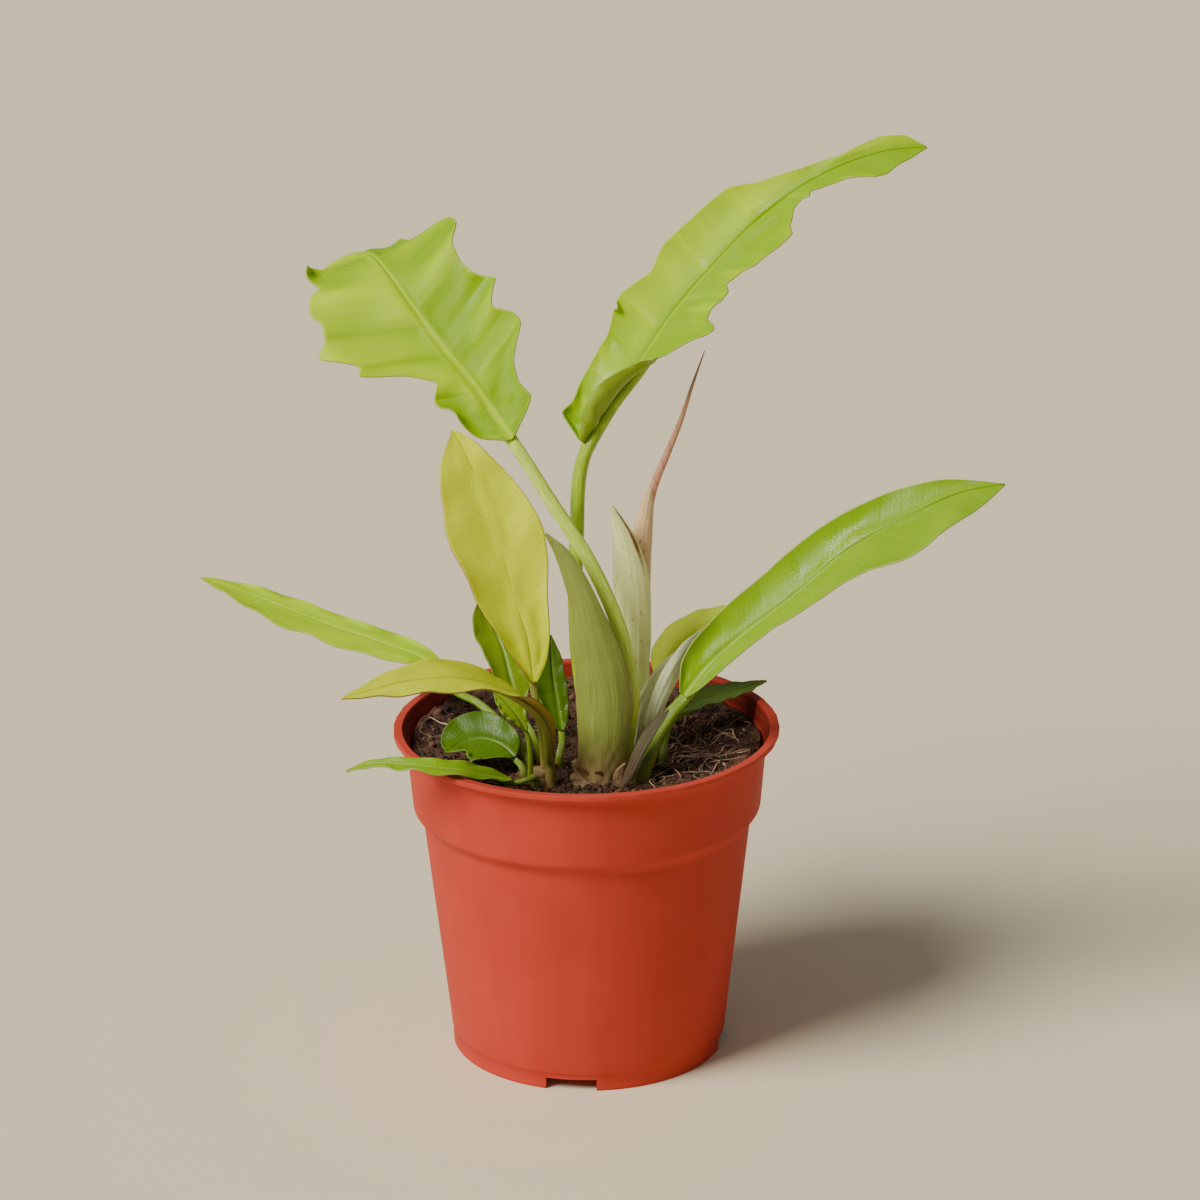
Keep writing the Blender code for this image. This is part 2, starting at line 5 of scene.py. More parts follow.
import bmesh
import bpy
import mathutils
import numpy as np
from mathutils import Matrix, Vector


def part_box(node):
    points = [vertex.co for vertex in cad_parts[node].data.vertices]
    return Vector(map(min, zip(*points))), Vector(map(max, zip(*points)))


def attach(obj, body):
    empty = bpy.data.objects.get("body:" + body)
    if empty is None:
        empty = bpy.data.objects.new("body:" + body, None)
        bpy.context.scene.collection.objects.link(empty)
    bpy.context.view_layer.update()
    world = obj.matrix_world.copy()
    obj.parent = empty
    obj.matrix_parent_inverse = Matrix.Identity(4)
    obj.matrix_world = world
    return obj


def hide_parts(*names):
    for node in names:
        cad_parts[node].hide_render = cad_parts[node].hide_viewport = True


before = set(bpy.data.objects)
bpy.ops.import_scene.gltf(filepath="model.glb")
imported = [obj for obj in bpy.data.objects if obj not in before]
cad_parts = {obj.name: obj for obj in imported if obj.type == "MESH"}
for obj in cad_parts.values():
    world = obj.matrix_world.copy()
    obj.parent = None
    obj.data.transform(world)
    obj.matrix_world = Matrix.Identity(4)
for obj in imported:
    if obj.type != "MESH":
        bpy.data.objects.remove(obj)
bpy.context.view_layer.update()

# --- Pot -------------------------------------------------------------------------------
# A thin-walled thermoformed pot of terracotta-coloured polypropylene: rolled flat rim, deep
# collar, tapered body and a skirt with notches that let the drain water out. The wall is one
# outline turned about the axis; the skirt's lower edge lifts at the notches.

MM = 0.001
RIM_RADIUS, _, POT_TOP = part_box("pot")[1]
COLLAR_RADIUS = (56.0 * MM, 54.3 * MM)      # at its top and at its lower edge
COLLAR_EDGE = POT_TOP - 24.5 * MM
BODY_TOP = POT_TOP - 31 * MM
BODY_RADIUS = (43.3 * MM, 51.0 * MM)        # at the seam and under the collar
SKIRT = 5.5 * MM
FOOT_RADIUS = 43.0 * MM
WALL = 1.0 * MM
RIM_WAVE = 0.12 * MM                        # how far the trimmed edge strays
INNER_SLOPE = 0.53                          # how fast the inner wall widens below the rim
FLOOR = (4.5 * MM, 5.7 * MM)
NOTCH_TURN, NOTCH_WIDTH, NOTCH_HEIGHT = math.radians(-97.6), 16 * MM, 3.8 * MM
NOTCHES, NOTCH_APART = 4, math.pi / 2
NOTCH_EDGE = 0.0006                         # half the angle that an edge is drawn over
DRAIN_COUNT, DRAIN_CIRCLE, DRAIN_RADIUS = 8, 30 * MM, 4 * MM
POT_COLUMNS, DRAIN_SIDES = 240, 32
CREASE_ANGLE = math.radians(50)             # edges sharper than this stay sharp


def eased(points, steps):
    """A polyline with each corner cut to a small curve: Chaikin's rule, repeated."""
    line = np.asarray(points, float)
    for _ in range(steps):
        near = 0.75 * line[:-1] + 0.25 * line[1:]
        far = 0.25 * line[:-1] + 0.75 * line[1:]
        line = np.vstack([line[:1], np.stack([near, far], 1).reshape(-1, 2), line[-1:]])
    return line


def lay(name, points, looks, closed_columns=False, marks=None, flip=False):
    """A mesh object from a grid of points [row, column, xyz], with named values per point.

    The face between rows i, i + 1 and columns j, j + 1 looks along column step x row step.
    """
    rows, columns = points.shape[:2]
    i = np.arange(rows - 1)[:, None]
    j = np.arange(columns if closed_columns else columns - 1)[None, :]
    after = (j + 1) % columns
    low, high = i * columns, (i + 1) * columns
    corner = [low + j, low + after, high + after, high + j]
    faces = np.stack([np.broadcast_to(c, (i.size, j.size)) for c in corner], -1).reshape(-1, 4)
    if flip:
        faces = faces[:, ::-1]
    return mesh_object(name, points.reshape(-1, 3), faces, looks, marks)


def mesh_object(name, points, faces, looks, marks=None):
    """A smooth-shaded mesh object from an array of points and an array of equal-sided faces."""
    mesh = bpy.data.meshes.new(name)
    sides = faces.shape[1]
    mesh.vertices.add(len(points))
    mesh.vertices.foreach_set("co", np.ascontiguousarray(points, np.float32).ravel())
    mesh.loops.add(faces.size)
    mesh.loops.foreach_set("vertex_index", np.ascontiguousarray(faces, np.int32).ravel())
    mesh.polygons.add(len(faces))
    mesh.polygons.foreach_set("loop_start", np.arange(0, faces.size, sides, dtype=np.int32))
    mesh.update(calc_edges=True)
    for key, values in (marks or {}).items():
        layer = mesh.attributes.new(key, "FLOAT", "POINT")
        layer.data.foreach_set("value", np.ascontiguousarray(values, np.float32).ravel())
    mesh.shade_smooth()
    for look in looks:
        mesh.materials.append(look)
    obj = bpy.data.objects.new(name, mesh)
    bpy.context.scene.collection.objects.link(obj)
    return obj


def weld(obj, reach=1e-6):
    """Merges points that coincide, so that poles and seams are closed."""
    bm = bmesh.new()
    bm.from_mesh(obj.data)
    bmesh.ops.remove_doubles(bm, verts=bm.verts, dist=reach)
    bm.to_mesh(obj.data)
    bm.free()
    obj.data.shade_smooth()


def give(made, **inputs):
    """Sets a shader node's inputs to values, or links them to other nodes' outputs.

    An input goes by its name, with _ for a space, or by i and its number.
    """
    for key, value in inputs.items():
        socket = made.inputs[int(key[1:]) if key[1:].isdigit() else key.replace("_", " ")]
        if isinstance(value, bpy.types.NodeSocket):
            made.id_data.links.new(value, socket)
        elif socket.type == "RGBA":
            socket.default_value = (*value, 1)
        else:
            socket.default_value = value
    return made


def node(tree, kind, settings=None, **inputs):
    """A new shader node with its settings and inputs."""
    made = tree.nodes.new(kind)
    for key, value in (settings or {}).items():
        setattr(made, key, value)
    return give(made, **inputs)


def blend(share, first, second):
    """The colour first, covered by second where share is 1."""
    mix = node(share.id_data, "ShaderNodeMix", {"data_type": "RGBA"}, i0=share, i6=first, i7=second)
    return mix.outputs[2]


def spread(value, low, high, to_low=0.0, to_high=1.0):
    """value from low..high to to_low..to_high, held at both ends."""
    return node(value.id_data, "ShaderNodeMapRange",
                i0=value, i1=low, i2=high, i3=to_low, i4=to_high).outputs[0]


def times(first, second, how="MULTIPLY"):
    """first times second, or what how names instead; ABSOLUTE takes no notice of second."""
    return node(first.id_data, "ShaderNodeMath", {"operation": how}, i0=first, i1=second).outputs[0]


def noise(place, scale, detail=3.0):
    """Cloudy noise of 0 to 1, with scale clouds to the metre."""
    return node(place.id_data, "ShaderNodeTexNoise", Vector=place, Scale=scale, Detail=detail,
                Roughness=0.55).outputs["Fac"]


def stretched(place, scale):
    """place with each axis multiplied: a smaller factor draws a pattern out that way."""
    return node(place.id_data, "ShaderNodeMapping", Vector=place, Scale=scale).outputs[0]


def raise_by(shader, height, distance, strength):
    """Bumps the shader's surface by height, of 0 to 1, times distance in metres."""
    bump = node(shader.id_data, "ShaderNodeBump", Height=height, Distance=distance,
                Strength=strength)
    give(shader, Normal=bump.outputs[0])


def new_look(name):
    """A material, its node tree, its shader and the piece's own coordinates in metres."""
    made = bpy.data.materials.new(name)
    made.use_nodes = True
    tree = made.node_tree
    place = node(tree, "ShaderNodeTexCoord").outputs["Object"]
    return made, tree, tree.nodes["Principled BSDF"], place


def about_axis(radius, height, turn):
    """Points at a radius and height from the z axis, at each angle of turn."""
    return np.stack([radius * np.cos(turn), radius * np.sin(turn), height + 0 * turn], -1)


def pot_look():
    """Satin polypropylene: an even red-orange with faint flow marks and a rim top made
    paler in grainy specks.

    The wall's inner face, found by its slope, is darker: it only gets light through the mouth.
    """
    made, tree, shader, place = new_look("terracotta plastic")
    clouds = noise(place, 22.0, 4.0)
    streaks = noise(stretched(place, (90, 90, 9)), 1.0, 2.0)
    grain = noise(place, 1400.0, 2.0)
    height = node(tree, "ShaderNodeSeparateXYZ", Vector=place).outputs[2]
    body = blend(spread(clouds, 0.35, 0.7), (0.49, 0.044, 0.026), (0.56, 0.058, 0.033))
    body = blend(spread(streaks, 0.45, 0.8, 0, 0.35), body, (0.41, 0.030, 0.014))
    # The top 2.5 mm of the rim is made paler in grainy specks.
    paler_rim_top = times(spread(height, POT_TOP - 2.5 * MM, POT_TOP), spread(grain, 0.4, 0.75, 0, 0.5))
    body = blend(paler_rim_top, body, (0.45, 0.09, 0.045))
    reach = node(tree, "ShaderNodeVectorMath", {"operation": "LENGTH"},
                 Vector=stretched(place, (1, 1, 0))).outputs["Value"]
    widening = times(reach, times(height, INNER_SLOPE), "SUBTRACT")
    wall = COLLAR_RADIUS[0] - WALL - INNER_SLOPE * (POT_TOP - 5 * MM)
    inside = times(spread(widening, wall + 0.2 * MM, wall + 0.5 * MM, 0.85, 0),
                   spread(height, POT_TOP - 6 * MM, POT_TOP - 5 * MM))
    inside = times(inside, spread(height, POT_TOP - 1.2 * MM, POT_TOP - 0.6 * MM, 1, 0))
    body = blend(inside, body, (0.20, 0.020, 0.010))
    give(shader, Base_Color=body, Roughness=spread(clouds, 0.3, 0.7, 0.52, 0.64),
         Specular_IOR_Level=0.12)
    raise_by(shader, times(grain, spread(streaks, 0.2, 0.8, 0.3, 1.0)), 0.00004, 0.6)
    return made


def pot_outline():
    """The wall's outline (radius, height): floor, inside, rim, outside, foot, underside."""
    low, high = BODY_RADIUS
    step, mouth = COLLAR_RADIUS[1], COLLAR_RADIUS[0]
    inside = eased([
        (low - WALL - 3 * MM, FLOOR[1]), (low - WALL, FLOOR[1]),
        (low - WALL + 0.3 * MM, FLOOR[1] + 3 * MM),
        (high - WALL, BODY_TOP), (high - WALL + 0.4 * MM, BODY_TOP + 1.5 * MM),
        (step - WALL - 0.4 * MM, COLLAR_EDGE - 2 * MM), (step - WALL, COLLAR_EDGE),
        (mouth - WALL, POT_TOP - 5 * MM), (RIM_RADIUS - 3.1 * MM, POT_TOP - 1.4 * MM),
        (RIM_RADIUS - 2.9 * MM, POT_TOP), (RIM_RADIUS - 2.2 * MM, POT_TOP),
    ], 3)
    outside = eased([
        (RIM_RADIUS - 0.9 * MM, POT_TOP), (RIM_RADIUS, POT_TOP), (RIM_RADIUS, POT_TOP - 0.9 * MM),
        (RIM_RADIUS, POT_TOP - 1.7 * MM), (RIM_RADIUS - 0.8 * MM, POT_TOP - 2.0 * MM),
        (mouth + 0.7 * MM, POT_TOP - 2.8 * MM), (mouth, POT_TOP - 4.6 * MM),
        (mouth - 0.3 * MM, POT_TOP - 8 * MM), (step + 0.15 * MM, COLLAR_EDGE + 2 * MM),
        (step, COLLAR_EDGE), (step - 0.3 * MM, COLLAR_EDGE - 1.3 * MM),
        (high + 0.5 * MM, BODY_TOP + 2.6 * MM), (high, BODY_TOP + 1.4 * MM),
        (high - 0.15 * MM, BODY_TOP - 1.5 * MM), (low + 0.7 * MM, SKIRT + 7 * MM),
    ], 3)
    foot = [
        (low + 0.02 * MM, SKIRT + 0.35 * MM), (low - 0.1 * MM, SKIRT + 0.05 * MM),
        (low - 0.28 * MM, SKIRT - 0.1 * MM), (FOOT_RADIUS, 1.2 * MM),
        (FOOT_RADIUS - 0.05 * MM, 0.3 * MM), (FOOT_RADIUS - 0.3 * MM, 0),
        (FOOT_RADIUS - 0.7 * MM, 0),
        (FOOT_RADIUS - WALL, 0.3 * MM), (FOOT_RADIUS - WALL, 1.2 * MM),
        (FOOT_RADIUS - WALL, FLOOR[0]),
    ]
    return np.vstack([[(0, FLOOR[1])], inside, outside, foot, [(0, FLOOR[0])]])


def turn_columns():
    """Angles round the pot: even steps, with a pair of columns at each notch's edge."""
    half = NOTCH_WIDTH / 2 / FOOT_RADIUS
    edges = [NOTCH_TURN + k * NOTCH_APART + side * half + nudge
             for k in range(NOTCHES) for side in (-1, 1) for nudge in (-NOTCH_EDGE, NOTCH_EDGE)]
    even = np.linspace(0, 2 * math.pi, POT_COLUMNS, endpoint=False)
    angles = np.concatenate([even, np.mod(edges, 2 * math.pi)])
    return np.sort(angles)


def pot_points():
    """The outline turned about the axis: inside a notch, the skirt's points rise to its height.

    The rim's edge waves as trimmed plastic does: RIM_WAVE times the product of two sine waves
    and half a finer one.
    """
    outline, turn = pot_outline(), turn_columns()
    radius, height = outline[:, :1], outline[:, 1:]
    away = np.mod(turn - NOTCH_TURN + NOTCH_APART / 2, NOTCH_APART) - NOTCH_APART / 2
    notch = np.where(np.abs(away) * FOOT_RADIUS < NOTCH_WIDTH / 2, NOTCH_HEIGHT, 0)[None, :]
    skirt = (radius > FOOT_RADIUS - 2 * WALL) & (height < FLOOR[0])
    height = np.where(skirt, np.maximum(height, notch), height)
    trim = RIM_WAVE * (np.sin(37 * turn) * np.sin(11 * turn + 1) + 0.5 * np.sin(83 * turn))[None, :]
    at_rim = (np.abs(radius - RIM_RADIUS + 0.2 * MM) < 0.7 * MM) & (height > POT_TOP - 2 * MM)
    radius = radius - np.where(at_rim, RIM_WAVE + trim, 0)
    return about_axis(radius, height, turn)


def bore_drains(obj):
    """Cuts the round drain holes through the raised floor."""
    bm = bmesh.new()
    for k in range(DRAIN_COUNT):
        turn = (k + 0.5) * 2 * math.pi / DRAIN_COUNT
        made = bmesh.ops.create_cone(bm, cap_ends=True, segments=DRAIN_SIDES,
                                     radius1=DRAIN_RADIUS, radius2=DRAIN_RADIUS,
                                     depth=8 * MM)["verts"]
        bmesh.ops.translate(bm, verts=made, vec=(DRAIN_CIRCLE * math.cos(turn),
                                                 DRAIN_CIRCLE * math.sin(turn), sum(FLOOR) / 2))
    cutter = bpy.data.objects.new("drains", bpy.data.meshes.new("drains"))
    bm.to_mesh(cutter.data)
    bm.free()
    bpy.context.scene.collection.objects.link(cutter)
    boolean = obj.modifiers.new("drains", "BOOLEAN")
    boolean.operation, boolean.object = "DIFFERENCE", cutter
    bpy.context.view_layer.update()
    graph = bpy.context.evaluated_depsgraph_get()
    bored = bpy.data.meshes.new_from_object(obj.evaluated_get(graph))
    obj.modifiers.clear()
    obj.data = bored
    bpy.data.objects.remove(cutter)
    bored.set_sharp_from_angle(angle=CREASE_ANGLE)


pot = lay("pot_shell", pot_points(), [pot_look()], closed_columns=True)
weld(pot)
bore_drains(pot)
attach(pot, "root")
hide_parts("pot")

# --- Soil ------------------------------------------------------------------------------
# Moist peat and coir packed into the pot to just under its rim: an uneven crumbly top with
# loose crumbs, matted reddish coir fibres, a few pale straws and chips. It is only pressed in.

SOIL_LINE = 0.098
SOIL_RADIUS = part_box("soil")[1][0]
SOIL_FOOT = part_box("soil")[0][2]
SOIL_WAVE, SOIL_DIP, SOIL_HEAP, SOIL_SINK = 0.0009, 0.0012, 0.0038, 0.0012
SOIL_LUMPS = ((0.0010, 0.0070, 1), (0.0007, 0.0030, 2), (0.0004, 0.0013, 3))  # height, width, seed
SOIL_GAP = 1.2 * MM        # how far crumbs and the soil's side stay inside its radius
SOIL_RINGS, SOIL_COLUMNS = 130, 360
CROWNS = ((6.0, -24.0, 12.0), (-15.5, -23.0, 8.0))   # x, y, radius in mm
HILL_CELLS = 97                                      # after so many units the hills repeat


def unit(vectors):
    return vectors / (np.linalg.norm(vectors, axis=-1, keepdims=True) + 1e-12)


def uneven(u, v, seed):
    """Smooth random hills of -1 to 1 about one unit wide: eased steps between random corners."""
    corner = np.random.default_rng(seed).uniform(-1, 1, (HILL_CELLS, HILL_CELLS))
    iu, iv = np.floor(u).astype(int), np.floor(v).astype(int)
    fu, fv = u - iu, v - iv
    fu, fv = fu * fu * (3 - 2 * fu), fv * fv * (3 - 2 * fv)
    u0, u1, v0, v1 = (k % HILL_CELLS for k in (iu, iu + 1, iv, iv + 1))
    low = corner[u0, v0] * (1 - fu) + corner[u1, v0] * fu
    high = corner[u0, v1] * (1 - fu) + corner[u1, v1] * fu
    return low * (1 - fv) + high * fv


def soil_top(x, y):
    """Height of the soil's top at x, y in metres: two crossing waves, a dip in front of the
    crown, a heap towards the wall, and lumps of 7, 3 and 1.3 mm."""
    wave = np.sin(170 * x + 1.1) * np.cos(150 * y - 0.4) + 0.6 * np.sin(260 * x - 210 * y)
    dip = np.exp(-((x + 0.010) ** 2 + (y + 0.036) ** 2) / 0.018 ** 2)
    lumps = sum(size * uneven(x / cell + 40, y / cell + 40, seed)
                for size, cell, seed in SOIL_LUMPS)
    heaped = SOIL_HEAP * (np.hypot(x, y) / SOIL_RADIUS) ** 4
    return SOIL_LINE - SOIL_SINK + SOIL_WAVE * wave - SOIL_DIP * dip + heaped + lumps


def attribute(tree, name):
    """A named value that the mesh gives at each of its points."""
    return node(tree, "ShaderNodeAttribute", {"attribute_name": name}).outputs["Fac"]


def soil_look():
    """Dark brown peat, matt, with redder and blacker crumbs and fine grains that catch light."""
    made, tree, shader, place = new_look("peat and coir")
    tint = attribute(tree, "tint")
    patches = noise(place, 260.0, 4.0)
    grains = noise(place, 1500.0, 3.0)
    body = blend(spread(patches, 0.38, 0.66), (0.012, 0.005, 0.003), (0.085, 0.032, 0.015))
    body = blend(spread(tint, 0.35, 1.0), body, (0.17, 0.075, 0.035))
    body = blend(spread(grains, 0.62, 0.78, 0, 0.7), body, (0.24, 0.13, 0.07))
    give(shader, Base_Color=body, Roughness=spread(patches, 0.3, 0.7, 0.6, 0.95))
    raise_by(shader, grains, 0.0006, 0.8)
    return made


def make_soil():
    """Rings about the axis: out over the top, down inside the pot's wall and in underneath."""
    turn = np.linspace(0, 2 * math.pi, SOIL_COLUMNS, endpoint=False)
    reach = SOIL_RADIUS * np.linspace(0.0005, 1, SOIL_RINGS) ** 0.8
    x, y = reach[:, None] * np.cos(turn), reach[:, None] * np.sin(turn)
    top = np.stack([x, y, soil_top(x, y)], -1)
    low = [(SOIL_RADIUS - SOIL_GAP, COLLAR_EDGE + 1 * MM), (BODY_RADIUS[1] - 1.9 * MM, BODY_TOP),
           (BODY_RADIUS[0] - 1.5 * MM, SOIL_FOOT), (BODY_RADIUS[0] * 0.5, SOIL_FOOT),
           (0.0005 * MM, SOIL_FOOT)]
    points = np.concatenate([top] + [about_axis(r, z, turn)[None] for r, z in low])
    tint = 0.5 + 0.5 * uneven(points[..., 0] / 0.004 + 9, points[..., 1] / 0.004, 4)
    made = lay("soil_body", points, [peat], closed_columns=True, flip=True, marks={"tint": tint})
    weld(made, 5e-6)
    return made


def scatter(count, seed):
    """count random places on the soil's top, clear of the crowns, as x, y in metres."""
    dice = np.random.default_rng(seed)
    reach = (SOIL_RADIUS - SOIL_GAP) * np.sqrt(dice.uniform(0, 1, 3 * count))
    turn = dice.uniform(0, 2 * math.pi, 3 * count)
    spots = np.stack([reach * np.cos(turn), reach * np.sin(turn)], -1)
    clear = np.ones(len(spots), bool)
    for x, y, radius in CROWNS:
        clear &= np.hypot(spots[:, 0] - x * MM, spots[:, 1] - y * MM) > (radius - 1) * MM
    return spots[clear][:count], dice


def swung(first, second, angle):
    """Two coordinates turned by an angle in their own plane."""
    return (first * np.cos(angle) - second * np.sin(angle),
            first * np.sin(angle) + second * np.cos(angle))


def make_crumbs(name, count, sizes, squash, seed, look):
    """Many small lumps: one twenty-faced ball, each copy stretched, turned and sunk by chance."""
    bm = bmesh.new()
    bmesh.ops.create_icosphere(bm, subdivisions=1, radius=1)
    ball = np.array([v.co for v in bm.verts])
    faces = np.array([[v.index for v in f.verts] for f in bm.faces])
    bm.free()
    spots, dice = scatter(count, seed)
    size = (sizes[0] + (sizes[1] - sizes[0]) * dice.uniform(0, 1, count) ** 3) * MM
    stretch = dice.uniform(0.6, 1.4, (count, 1, 3)) * size[:, None, None] * np.array([1, 1, squash])
    bumps = dice.uniform(0.75, 1.15, (count, len(ball), 1))
    spin = dice.uniform(0, 2 * math.pi, count)
    tilt = dice.normal(0, 0.5, count)
    local = ball * bumps * stretch
    x, z = swung(local[..., 0], local[..., 2], tilt[:, None])
    turned = np.stack([*swung(x, local[..., 1], spin[:, None]), z], -1)
    ground = soil_top(spots[:, 0], spots[:, 1]) + size * squash * dice.uniform(-0.2, 0.7, count)
    points = turned + np.stack([spots[:, 0], spots[:, 1], ground], -1)[:, None]
    places = (faces[None] + (np.arange(count) * len(ball))[:, None, None]).reshape(-1, 3)
    tint = np.repeat(dice.uniform(0, 1, count), len(ball))
    return mesh_object(name, points.reshape(-1, 3), places, [look], {"tint": tint})


def make_fibres(name, count, lengths, radius, seed, look, lift=1.0, spots=None):
    """Curved hairs lying on the soil: four-sided tubes along arcs of chance length and bend."""
    found, dice = scatter(count, seed)
    spots = found if spots is None else spots
    steps, sides = 10, 4
    share = np.linspace(-0.5, 0.5, steps + 1)
    length = dice.uniform(*lengths, count) * MM
    turn, bend = dice.uniform(0, 2 * math.pi, count), dice.normal(0, 1.6, count)
    angle = turn[:, None] + bend[:, None] * share + 0.5 * np.sin(9 * share + turn[:, None])
    x = spots[:, :1] + np.cumsum(np.cos(angle), 1) * length[:, None] / steps
    y = spots[:, 1:] + np.cumsum(np.sin(angle), 1) * length[:, None] / steps
    shrink = np.minimum(1, (SOIL_RADIUS - 1.5 * MM) / np.hypot(x, y))
    x, y = x * shrink, y * shrink
    arch = dice.uniform(0.1, 1.0, count)[:, None] * (1 - (2 * share) ** 2) * lift * MM
    z = soil_top(x, y) + 0.3 * MM + arch + dice.uniform(0, 0.5, count)[:, None] * MM
    path = np.stack([x, y, z], -1)
    forward = np.gradient(path, axis=1)
    side = unit(np.cross(forward, (0, 0, 1)))
    over = unit(np.cross(side, forward))
    thick = radius * MM * dice.uniform(0.6, 1.3, count)[:, None] * (1.02 - (2 * np.abs(share)) ** 3)
    round_ = np.linspace(0, 2 * math.pi, sides, endpoint=False)
    ring = (path[:, :, None] + thick[..., None, None]
            * (side[:, :, None] * np.cos(round_)[:, None]
               + over[:, :, None] * np.sin(round_)[:, None]))
    i, j = np.arange(steps)[:, None], np.arange(sides)[None]
    quad = np.stack([i * sides + j, (i + 1) * sides + j, (i + 1) * sides + (j + 1) % sides,
                     i * sides + (j + 1) % sides], -1).reshape(-1, 4)
    ends = np.array([[0, 1, 2, 3], [steps * sides + k for k in (3, 2, 1, 0)]])
    quad = np.vstack([quad, ends])
    places = (quad[None] + (np.arange(count) * (steps + 1) * sides)[:, None, None]).reshape(-1, 4)
    tint = np.repeat(dice.uniform(0, 1, count), (steps + 1) * sides)
    return mesh_object(name, ring.reshape(-1, 3), places, [look], {"tint": tint})


def fibre_look(name, dark, light, roughness):
    """Dry plant matter: each fibre or chip between dark and light, with darker grain."""
    made, tree, shader, place = new_look(name)
    tint = attribute(tree, "tint")
    grain = noise(place, 900.0, 2.0)
    body = blend(tint, dark, light)
    body = blend(spread(grain, 0.45, 0.75, 0, 0.6), body, dark)
    give(shader, Base_Color=body, Roughness=roughness)
    raise_by(shader, grain, 0.0001, 0.6)
    return made


peat = soil_look()
coir = fibre_look("coir fibre", (0.055, 0.020, 0.010), (0.21, 0.085, 0.040), 0.75)
straw = fibre_look("pale root and straw", (0.20, 0.095, 0.05), (0.62, 0.43, 0.26), 0.6)
chip = fibre_look("bark and chips", (0.10, 0.045, 0.025), (0.60, 0.45, 0.30), 0.8)
straw_spots = np.random.default_rng(31).normal((30 * MM, -8 * MM), (9 * MM, 11 * MM), (120, 2))
straw_spots[100:] += (-60 * MM, 6 * MM)
for piece in (make_soil(),
              make_crumbs("soil_crumbs", 3600, (0.25, 1.5), 0.8, 11, peat),
              make_crumbs("soil_chips", 150, (0.3, 1.1), 0.4, 12, chip),
              make_fibres("coir_mat", 1700, (3, 12), 0.09, 13, coir),
              make_fibres("soil_straws", 120, (6, 20), 0.20, 14, straw, 2.5, straw_spots)):
    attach(piece, "root")
    if piece.name == "soil_body":
        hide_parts("soil")

# --- Crowns ----------------------------------------------------------------------------
# Two short woody stem bases that the stalks grow from, ringed with old leaf scars and wrapped
# in dried brown scales. They are rooted in the soil.

CROWN_DEPTH = 22      # mm below the soil line


def crown_look():
    """Brown corky skin with a greener cast in patches and pale fibres running up it."""
    made, _, shader, place = new_look("woody crown")
    fine = noise(stretched(place, (1, 1, 0.25)), 700.0, 3.0)
    patches = noise(place, 240.0, 2.0)
    body = blend(spread(patches, 0.35, 0.65), (0.13, 0.062, 0.028), (0.26, 0.19, 0.07))
    body = blend(spread(fine, 0.5, 0.75, 0, 0.8), body, (0.40, 0.22, 0.13))
    give(shader, Base_Color=body, Roughness=0.62)
    raise_by(shader, fine, 0.0003, 0.7)
    return made


def stem_base(name, x, y, radius, look):
    """A domed stub turned about its own axis, its radius waved by scars and lumps."""
    turn = np.linspace(0, 2 * math.pi, 96, endpoint=False)
    outline = eased([(0, 1.6), (0.4 * radius, 1.3), (0.78 * radius, 0.1), (0.97 * radius, -2.4),
                     (radius, -5), (0.8 * radius, -13), (0.45 * radius, -CROWN_DEPTH),
                     (0, -CROWN_DEPTH)], 3)
    r, z = outline[:, :1], outline[:, 1:]
    lumps = 1 + 0.05 * uneven(turn * 3 + radius, z / 1.5 + 40, 5) + 0.03 * np.sin(z * 4) * (r > 1)
    r = r * np.where(r > 0.3, lumps, 1)
    points = (about_axis(r, z, turn) + (x, y, 0)) * MM
    points[..., 2] += SOIL_LINE
    made = lay(name, points, [look], closed_columns=True, flip=True)
    weld(made)
    return made


woody = crown_look()
for (x, y, radius), name in zip(CROWNS, ("crown", "side_crown")):
    piece = stem_base(name + "_stem", x, y, radius, woody)
    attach(piece, "root")
    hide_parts(name)

# --- Leaves ----------------------------------------------------------------------------
# Thirteen leaves on round glossy stalks: two long lobed lime ones held high, then strap-shaped
# green, yellowing and dark ones lower down. Each stalk runs on under its blade as the keel.

BLADE_THICKNESS = 0.45          # mm
KEEL_SHARES = np.array([0.0, 0.04, 0.1, 0.2, 0.32, 0.45, 0.6, 0.72, 0.85])   # of the midrib
FOOT_FLARE = 0.35               # how much thicker a stalk is at its foot
STALK_SIDES = 22
LEAF_LIGHT = (0.4, 0.6, 0.1)    # how far red, green and blue light travel in the tissue


def gaps(points):
    """The distances from each point of a path to the next."""
    return np.linalg.norm(np.diff(points, axis=0), axis=1)


def smooth_path(points, share):
    """Places at share (0 to 1 of the length) along a smooth curve through every given point."""
    given = np.asarray(points, float)
    along = np.r_[0, np.cumsum(gaps(given))]
    along /= along[-1]
    slope = np.gradient(given, along, axis=0)
    index = np.clip(np.searchsorted(along, share, side="right") - 1, 0, len(along) - 2)
    step = (along[index + 1] - along[index])[:, None]
    u = ((share - along[index]) / (along[index + 1] - along[index]))[:, None]
    return ((2 * u**3 - 3 * u**2 + 1) * given[index] + (u**3 - 2 * u**2 + u) * step * slope[index]
            + (3 * u**2 - 2 * u**3) * given[index + 1] + (u**3 - u**2) * step * slope[index + 1])


def rounded(share, pairs, reach=0.008):
    """The polyline through pairs (share, value), its corners rounded over reach each way."""
    at, value = zip(*pairs)
    shifts = np.linspace(-1, 1, 9) * reach
    near = np.minimum(share, 1 - share) / reach / 1.2
    shifts = shifts[:, None] * np.clip(near, 0, 1)
    return np.mean([np.interp(share + shift, at, value) for shift in shifts], axis=0)


